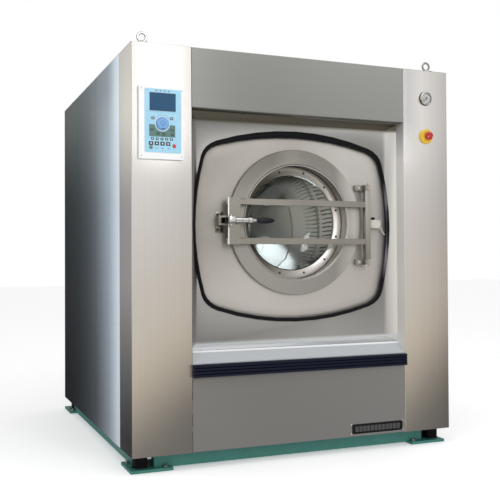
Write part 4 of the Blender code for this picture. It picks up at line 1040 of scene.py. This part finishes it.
def spot_light(name, place, target, cone, blend, power, colour):
    """A narrow lamp inside the drum. It stands in for room light that falls through the glass."""
    light = bpy.data.lights.new(name, "SPOT")
    light.spot_size, light.spot_blend = radians(cone), blend
    light.shadow_soft_size = 0.02
    holder = hang_light(name, light, place, target, power, colour)
    holder.visible_transmission = holder.visible_glossy = False


def build_world():
    """A room of soft bands by height and bearing, tuned to what the steel reflects in the front view.

    By bearing, behind says how far the rear_height ramp multiplies it too. The camera sees white.
    """
    world = bpy.data.worlds.new("studio")
    world.use_nodes = True
    bpy.context.scene.world = world
    nodes = Nodes(world.node_tree)
    background = world.node_tree.nodes["Background"]
    apart = nodes.node("SeparateXYZ", {0: nodes.node("TexCoord").outputs["Generated"]})

    bearing = nodes.maths("ARCTAN2", apart.outputs["X"], nodes.maths("MULTIPLY", apart.outputs["Y"], -1.0))
    slope, horizon = 0.10, 0.51
    sloped = nodes.maths("SUBTRACT", apart.outputs["Z"], nodes.maths("MULTIPLY", bearing, slope))
    by_height = nodes.ramp(nodes.maths("ADD", sloped, horizon), (
        (0.00, 0.80), (0.14, 0.50), (0.24, 0.09), (0.290, (0.18, 0.18, 0.175)),
        (0.325, (0.50, 0.46, 0.39)), (0.340, (0.76, 0.65, 0.49)), (0.375, (0.88, 0.79, 0.67)),
        (0.425, (0.85, 0.82, 0.75)), (0.475, (0.83, 0.80, 0.75)), (0.525, (0.88, 0.86, 0.85)),
        (0.575, (0.98, 0.97, 0.96)), (0.63, (1.00, 1.00, 0.99)), (0.75, 0.92),
    ))
    turn = nodes.maths("ADD", nodes.maths("DIVIDE", bearing, 2 * pi), 0.5)
    by_turn = nodes.ramp(turn, (
        (0.0200, 0.10), (0.0260, (0.04, 0.045, 0.045)), (0.0300, (0.06, 0.075, 0.08)),
        (0.0328, (0.10, 0.12, 0.14)), (0.0341, (0.36, 0.42, 0.50)), (0.0352, (0.95, 1.05, 1.18)),
        (0.0362, (1.00, 1.10, 1.25)), (0.0369, (0.60, 0.62, 0.66)), (0.0410, (0.60, 0.62, 0.66)),
        (0.0460, (0.50, 0.50, 0.51)), (0.13, (0.60, 0.61, 0.62)), (0.20, (0.65, 0.66, 0.67)),
        (0.40, 1.0), (0.61, 1.0), (0.66, (0.42, 0.41, 0.43)), (0.80, (0.60, 0.60, 0.61)),
        (1.000, (0.55, 0.56, 0.57)),
    ))
    behind = nodes.ramp(turn, (
        (0.0305, 1.0), (0.0360, 0.0), (0.0415, 0.0), (0.0470, 1.0), (0.12, 1.0), (0.20, 0.0),
    ))
    rear_height = nodes.ramp(nodes.maths("ADD", apart.outputs["Z"], 0.5), (
        (0.00, 0.90), (0.14, 0.75), (0.28, (0.04, 0.04, 0.045)), (0.355, (0.28, 0.28, 0.29)),
        (0.455, (0.72, 0.71, 0.70)), (0.5775, (0.80, 0.80, 0.79)), (0.68, (2.40, 2.35, 2.15)),
        (0.90, (1.20, 1.20, 1.18)),
    ))
    room = nodes.mix(1.0, by_height, by_turn, "MULTIPLY")
    room = nodes.mix(behind, room, rear_height, "MULTIPLY")
    from_camera = nodes.node("LightPath").outputs["Is Camera Ray"]
    nodes.give(nodes.mix(from_camera, room, (1.0, 1.0, 1.0)), background.inputs["Color"])
    nodes.give(1.0, background.inputs["Strength"])


def build_floor():
    shape = bmesh.new()
    bmesh.ops.create_grid(shape, x_segments=2, y_segments=2, size=30.0)
    mesh = bpy.data.meshes.new("floor")
    shape.to_mesh(mesh)
    shape.free()
    floor = bpy.data.objects.new("floor", mesh)
    floor.location.z = cad_low.z - 0.001
    look = Look("pale_floor", (0.93, 0.93, 0.93), 0.6,
                Emission_Color=(1.0, 1.0, 1.0, 1.0), Emission_Strength=0.35)
    mesh.materials.append(look.material)
    bpy.context.scene.collection.objects.link(floor)
    floor.visible_glossy = False


def build_stage():
    build_world()
    build_floor()
    area_light("front_softbox", (0.50, -5.74, 3.20), (-0.74, -0.94, 1.6), 0.85, 2.2, 30.0)
    area_light("top_softbox", (0.0, -1.5, 5.5), (0.0, 0.0, 1.0), 5.0, 4.0, 70.0)
    spots = (
        ("drum_wall_light", (-0.10, -0.50, 1.16), (0.60, -0.05, 1.32), 46.0, 0.9, 17.0, (1.0, 0.97, 0.92)),
        ("drum_back_light", (0.05, -0.55, 1.25), (0.44, 0.05, 1.24), 40.0, 0.9, 3.5, (1.0, 0.99, 0.96)),
        ("drum_glare", (0.02, -0.50, 1.20), (0.225, 0.05, 0.965), 33.0, 0.45, 104.0, (0.80, 0.88, 1.0)),
    )
    for spot in spots:
        spot_light(*spot)
    scene = bpy.context.scene
    scene.view_settings.view_transform = "Standard"
    scene.cycles.use_denoising = True


def build_camera():
    """The view: from the left of the front, at about half the machine's height."""
    yaw, pitch, roll = radians(22.33), radians(0.85), radians(-0.26)
    forward = Vector((sin(yaw) * cos(pitch), cos(yaw) * cos(pitch), sin(pitch)))
    level = Vector((cos(yaw), -sin(yaw), 0.0))
    above = level.cross(forward)
    right = level * cos(roll) + above * sin(roll)
    upward = above * cos(roll) - level * sin(roll)
    data = bpy.data.cameras.new("photo_view")
    data.lens = 57.59
    camera = bpy.data.objects.new("photo_view", data)
    turn = Matrix((right, upward, -forward)).transposed().to_4x4()
    camera.matrix_world = Matrix.Translation((-1.7913, -4.593, 0.9926)) @ turn
    bpy.context.scene.collection.objects.link(camera)
    bpy.context.scene.camera = camera


dress_nodes()
build_details()
build_stage()
build_camera()
